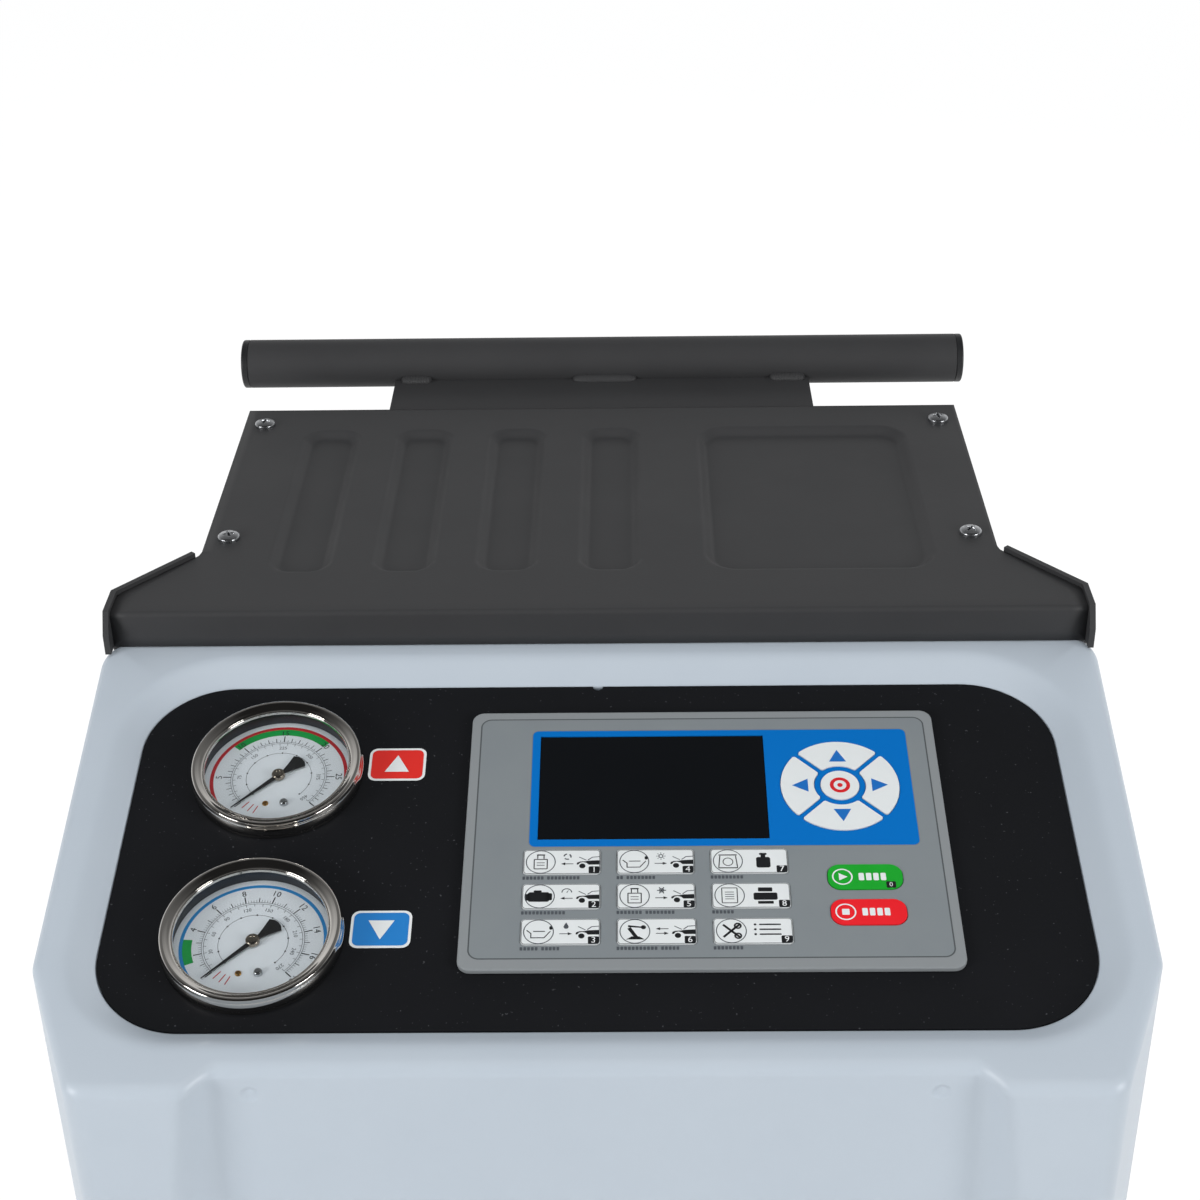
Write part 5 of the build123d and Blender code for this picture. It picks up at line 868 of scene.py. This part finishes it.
NAV = (117.5, 95.0)
for name, turn in (("up", 90), ("left", 180), ("down", 270), ("right", 0)):
    key = f"arrow_key_{name}"
    dress(key_white, key)
    t = math.radians(turn)
    out, side_ways = np.array([math.cos(t), -math.sin(t)]), np.array([math.sin(t), math.cos(t)])
    corners = [np.array(NAV) + a * out + c * side_ways for a, c in ((23.2, 0), (15.4, 4.2), (15.4, -4.2))]
    fill(f"{key}_mark", [corners], INK, arrow_blue, key)
dress(key_white, "enter_key")
fill("enter_key_mark", ring_band(NAV, 3.1, 4.9, 0, 360, 40) + [rounded_bar(*NAV, 2.6, 2.6, 1.29, 6)],
     INK, plain_ink("red key ink", "#D8131F"), "enter_key")


# Tool tray
# One sheet of 2 mm steel, powder coated near-black, with four slots and a pocket pressed into it
# and a lip folded down over the cover. The pressed walls are soft and the coat has orange peel.
def dense_lines(low, high, bands, fine, coarse):
    """Grid lines between low and high, fine inside each band and coarse elsewhere."""
    marks = [low]
    while marks[-1] < high - 1e-6:
        here = marks[-1]
        inside = any(a - 0.01 <= here < b for a, b in bands)
        ahead = min([a for a, b in bands if a > here + 0.01] + [high])
        marks.append(min(here + (fine if inside else coarse), high if inside else ahead))
    return np.array(marks)


slot_centres = [(-76.3 + (k - 1.5) * 55.0, 17.5) for k in range(4)]
x_bands = [(x - half - 1, x + half + 1) for x, half in slot_centres]
x_bands += [(118 - 63, 118 - 40), (118 + 40, 118 + 63)]
tray_x = dense_lines(-213.3, 213.3, x_bands, 0.95, 6.0)
tray_y = dense_lines(-20.4, 214.5, [(16.5, 42), (163, 188.5)], 0.95, 6.0)[::-1]
half_width = np.interp(tray_y, (-4.5, 35.5, 40.5), (250.3, 214.5, 213.3))
spread = np.linspace(0, 1, 5)[1:]
edge_x = 213.3 + (half_width[:, None] - 213.3) * spread
grid_x = np.concatenate([-edge_x[:, ::-1], np.repeat(tray_x[None], len(tray_y), 0), edge_x], 1)
grid_y = np.repeat(tray_y[:, None], grid_x.shape[1], 1)


def inside_by(x, y, centre, half, radius):
    """Distance from a point to the edge of a rounded rectangle, above 0 inside."""
    qx, qy = np.abs(x - centre[0]) - half[0] + radius, np.abs(y - centre[1]) - half[1] + radius
    return radius - np.hypot(np.maximum(qx, 0), np.maximum(qy, 0)) - np.minimum(np.maximum(qx, qy), 0)


sunk = np.zeros_like(grid_x)
for x, half in slot_centres:
    sunk = np.maximum(sunk, 4.0 * soft_step(inside_by(grid_x, grid_y, (x, 102.5), (17.5, 84.5), 13) / 6.4))
sunk = np.maximum(sunk, 4.0 * soft_step(inside_by(grid_x, grid_y, (118, 102.5), (62, 85), 18) / 6.4))
sheet = [np.dstack([grid_x, grid_y, 970.0 - sunk])]
# The lip: a bend of 2.6 mm radius, then straight down
bend = np.radians(np.linspace(90, 0, 9))[1:]
lip_x = np.repeat(grid_x[-1:], len(bend) + 3, 0)
lip_y = np.concatenate([-20.4 - 2.6 * np.cos(bend), [-23.0] * 3])
lip_z = np.concatenate([967.4 + 2.6 * np.sin(bend), [962.0, 956.0, 950.0]])
sheet.append(np.dstack([lip_x, np.repeat(lip_y[:, None], lip_x.shape[1], 1),
                        np.repeat(lip_z[:, None], lip_x.shape[1], 1)]))
sheet = np.concatenate(sheet)
powder_coat = finish_of("near-black powder coat", ("#383839", "#3E3E3F"), 55, (0.5, 0.6), 1.3, 0.05,
                        specular_ior_level=0.25)
tray = new_piece("pressed_tool_tray", sheet, grid_faces(*sheet.shape[:2])[:, ::-1], powder_coat,
                 "cabinet", 60)
wall = tray.modifiers.new("sheet thickness", "SOLIDIFY")
wall.thickness = 0.0019
wall.offset = -1.0
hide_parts("top_tray")


# Side panels with the raised cheeks
# Bent steel sheet in the same coat. The cut edges are eased by the coat, so a narrow bevel
# catches the light along them.
def eased_copy(node, name, width, material, body="cabinet", segments=2, angle=28.0):
    """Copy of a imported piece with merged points, whole flat faces and a narrow rounded edge."""
    work = bmesh.new()
    work.from_mesh(nodes[node].data)
    bmesh.ops.remove_doubles(work, verts=work.verts, dist=2e-6)
    bmesh.ops.dissolve_limit(work, angle_limit=math.radians(0.6), use_dissolve_boundaries=False,
                             verts=work.verts, edges=work.edges)
    mesh = bpy.data.meshes.new(name)
    work.to_mesh(mesh)
    work.free()
    mesh.shade_smooth()
    mesh.set_sharp_from_angle(angle=math.radians(angle))
    mesh.materials.append(material)
    piece = bpy.data.objects.new(name, mesh)
    bpy.context.scene.collection.objects.link(piece)
    if width:
        bevel = piece.modifiers.new("eased edge", "BEVEL")
        bevel.width = width * 0.001
        bevel.segments = segments
        bevel.limit_method = "ANGLE"
        bevel.angle_limit = math.radians(angle)
        bevel.harden_normals = True
    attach(piece, body)
    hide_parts(node)
    return piece


for side in ("left", "right"):
    panel = eased_copy(f"{side}_side_panel", f"{side}_bent_side_panel", 0.5, powder_coat)


# Tray screws
# M6 pan heads of bright zinc plated steel with a cross recess.
bright_zinc = finish_of("bright zinc plate", ("#A9ABAE", "#B9BBBE"), 6, (0.22, 0.34), 0.5, 0.012,
                        metallic=1.0)
t = np.linspace(0, 2 * math.pi, 72, endpoint=False)
radii = np.concatenate([np.linspace(0.001, 4.4, 26), np.linspace(4.55, 5.2, 5),
                        5.2 + 0.8 * np.sin(np.radians([18, 36, 54, 72, 90])), [6.0, 6.0]])
dome = 3.4 - 0.035 * np.minimum(radii, 5.2) ** 2
dome[31:36] = dome[30] - 0.8 * (1 - np.cos(np.radians([18, 36, 54, 72, 90]))) - 0.2
dome[36:] = (1.0, 0.0)
head_x, head_y = radii[:, None] * np.cos(t), radii[:, None] * np.sin(t)
for index, (x, y) in enumerate([(-201, 55.2), (201, 55.2), (-201, 193.8), (201, 193.8)]):
    turn = (0.3, 0.9, 1.3, 0.15)[index]
    u = head_x * math.cos(turn) + head_y * math.sin(turn)
    v = -head_x * math.sin(turn) + head_y * math.cos(turn)
    arms = np.maximum(soft_step((0.75 - np.abs(u)) / 0.3) * soft_step((3.3 - np.abs(v)) / 0.8),
                      soft_step((0.75 - np.abs(v)) / 0.3) * soft_step((3.3 - np.abs(u)) / 0.8))
    dip = 1.9 * arms * soft_step((3.6 - np.hypot(u, v)) / 0.8)
    points = np.dstack([x + head_x, y + head_y, 970.0 + dome[:, None] - dip])
    screw = new_piece(f"tray_screw_{index + 1}", points,
                      grid_faces(len(radii), len(t), closed=True), bright_zinc, "cabinet", 50)
    if index == 0:
        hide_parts("tray_screws")


# Handle
# Steel tube of 30 mm with pressed-in plastic end caps, welded along a flat bracket. Three weld
# beads show under the tube, coated over.
HANDLE = (0.0, 274.0, 974.0)
tube_profile = [(13.0, -220.9), (14.6, -220.9), (15.0, -220.5), (15.0, -110), (15.0, 0), (15.0, 110),
                (15.0, 220.5), (14.6, 220.9), (13.0, 220.9), (13.0, 0), (13.0, -220.9)]
tube = turned_piece("welded_handle_tube", tube_profile, HANDLE, (1, 0, 0), (0, 0, 1), powder_coat,
                    "cabinet", 72)
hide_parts("tray_handle")
bracket_corners = np.array([(x, y, z) for z in (965, 968) for x, y in
                            ((-129, 192), (129, 192), (129, 262), (-129, 262))], float)
bracket = new_piece("handle_bracket", bracket_corners,
                    [(3, 2, 1, 0), (4, 5, 6, 7), (0, 1, 5, 4), (1, 2, 6, 5), (2, 3, 7, 6), (3, 0, 4, 7)],
                    powder_coat, "cabinet")
bevel = bracket.modifiers.new("eased edge", "BEVEL")
bevel.width = 0.0005
bevel.segments = 2
for index, (x, length) in enumerate(((-115.6, 19), (1.8, 40), (115.6, 22))):
    along = np.linspace(-1, 1, 60)
    body = 3.4 * np.sqrt(np.maximum(1 - along ** 6, 0)) * (1 + 0.13 * np.abs(np.sin(along * length * 0.9)))
    around = np.linspace(0, 2 * math.pi, 20, endpoint=False)
    points = np.dstack([
        np.repeat((x + along * length / 2)[:, None], 20, 1),
        259.2 + body[:, None] * 1.25 * np.cos(around),
        968.6 + body[:, None] * 0.85 * np.sin(around)])
    bead = new_piece(f"weld_bead_{index + 1}", points, grid_faces(60, 20, closed=True), powder_coat,
                     "cabinet", 80)
cap_plastic = finish_of("moulded black cap", ("#1C1D1F", "#232426"), 14, (0.42, 0.5), 0.8, 0.02)
for name, end in (("left", -1), ("right", 1)):
    profile = np.concatenate([[(12.9, -15.0), (12.9, 0.0), (14.7, 0.05), (15.0, 0.35), (15.0, 2.9)],
                              arc_points((13.8, 2.8), 1.2, 0, 90, 7), [(6.0, 4.0), (0.0, 4.0)]])
    cap = turned_piece(f"{name}_handle_cap", profile, (end * 221.0, 274.0, 974.0), (end, 0, 0),
                       (0, 0, 1), cap_plastic, "cabinet", 72)
    if end < 0:
        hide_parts("handle_end_caps")


# Rear of the cabinet
# Louvred sheet, two flare couplings of brass, and a moulded inlet with its rocker switch.
dress(powder_coat, "rear_panel")
coupling_brass = finish_of("machined brass", ("#B48A4C", "#C79B59"), 5, (0.24, 0.34), 0.4, 0.01,
                           metallic=1.0)
dress(coupling_brass, "service_couplings")
inlet_plastic = finish_of("moulded inlet plastic", ("#141516", "#1B1C1D"), 12, (0.4, 0.5), 0.6, 0.02)
dress(inlet_plastic, "power_inlet")
rocker_plastic = finish_of("glossy rocker plastic", ("#0E0F10", "#141516"), 12, (0.2, 0.28), 0.8, 0.004)
dress(rocker_plastic, "rocker_switch")


# Chassis, axle, wheels and casters
# Folded pan in the same coat, a bright axle, rubber tyres on grey plastic rims, and casters of
# pressed zinc plated steel with grey rubber wheels.
dress(powder_coat, "base_chassis")
zinc_steel = finish_of("zinc plated pressed steel", ("#9A9FA3", "#ADB2B5"), 9, (0.34, 0.48), 0.7,
                       0.012, metallic=1.0)
dress(zinc_steel, "rear_axle", "axle_caps", "caster_plates", "left_caster_fork", "right_caster_fork")


def wheel_finish(name, axle, rim_radius, rim_tones, tread_tones):
    """Rubber tread on a moulded rim: the tone changes at rim_radius from the axle's line.

    The distance is the length of the place less the axle with its x set to nothing.
    """
    material, tree, shader, place = start_material(name)
    spoke = add_node(tree, "ShaderNodeVectorMath",
                     {"operation": "SUBTRACT", 1: tuple(v * 0.001 for v in axle)}, {0: place})
    spoke = add_node(tree, "ShaderNodeVectorMath", {"operation": "MULTIPLY", 1: (0.0, 1.0, 1.0)},
                     {0: spoke.outputs[0]})
    radius = add_node(tree, "ShaderNodeVectorMath", {"operation": "LENGTH"}, {0: spoke.outputs[0]})
    tread = add_node(tree, "ShaderNodeMath", {"operation": "GREATER_THAN", 1: rim_radius * 0.001},
                     {0: radius.outputs["Value"]}).outputs[0]
    scuffs = add_node(tree, "ShaderNodeTexNoise", {"Scale": 1000 / 16, "Detail": 4.0}, {"Vector": place})
    pair = [add_node(tree, "ShaderNodeMix",
                     {"data_type": "RGBA", 6: to_linear(tones[0]), 7: to_linear(tones[1])},
                     {0: scuffs.outputs["Fac"]}).outputs[2] for tones in (rim_tones, tread_tones)]
    tone = add_node(tree, "ShaderNodeMix", {"data_type": "RGBA"}, {0: tread, 6: pair[0], 7: pair[1]})
    tree.links.new(tone.outputs[2], shader.inputs["Base Color"])
    rough = add_node(tree, "ShaderNodeMapRange", {"To Min": 0.42, "To Max": 0.74}, {"Value": tread})
    tree.links.new(rough.outputs["Result"], shader.inputs["Roughness"])
    grain = add_node(tree, "ShaderNodeTexNoise", {"Scale": 1000 / 0.8, "Detail": 2.0}, {"Vector": place})
    bump = add_node(tree, "ShaderNodeBump", {"Strength": 1.0, "Distance": 0.00003},
                    {"Height": grain.outputs["Fac"]})
    tree.links.new(bump.outputs["Normal"], shader.inputs["Normal"])
    return material


dress(wheel_finish("tyre on grey rim", (0, 155, 100), 75, ("#73787B", "#7D8285"), ("#171717", "#212121")),
      "left_rear_wheel", "right_rear_wheel")
dress(wheel_finish("caster tread on black core", (0, -168, 50), 36, ("#1F2021", "#272829"),
                   ("#5B5E60", "#676A6C")), "left_caster_wheel", "right_caster_wheel")


# Inside the cabinet
# Circuit board, equipment plate, refrigerant tank on its scale, compressor, vacuum pump, filter
# drier, valve block and the condenser with its fan. All of it is closed in by the sheets.
solder_mask = finish_of("green solder mask", ("#0E4A2C", "#146038"), 8, (0.3, 0.42), 0.6, 0.01)
dress(solder_mask, "controller_board")
galvanised = finish_of("galvanised sheet", ("#9DA2A4", "#B4B8B9"), 16, (0.36, 0.5), 1.0, 0.01,
                       metallic=1.0)
dress(galvanised, "equipment_plate", "tank_scale")
tank_enamel = finish_of("pale blue tank enamel", ("#7FA9C9", "#8AB2D0"), 30, (0.3, 0.4), 1.0, 0.02)
dress(tank_enamel, "refrigerant_tank")
machine_black = finish_of("black machine enamel", ("#18191A", "#222324"), 24, (0.36, 0.46), 1.2, 0.03)
dress(machine_black, "compressor")
pump_enamel = finish_of("blue pump enamel", ("#23528C", "#2B5D99"), 24, (0.34, 0.44), 1.2, 0.03)
dress(pump_enamel, "vacuum_pump")
bare_aluminium = finish_of("mill finish aluminium", ("#B5B8BA", "#C3C6C8"), 10, (0.3, 0.42), 0.7,
                           0.01, metallic=1.0)
dress(bare_aluminium, "filter_drier", "valve_block", "condenser")
fan_plastic = finish_of("moulded fan plastic", ("#1A1B1C", "#232425"), 14, (0.44, 0.54), 0.8, 0.02)
dress(fan_plastic, "fan_rotor")
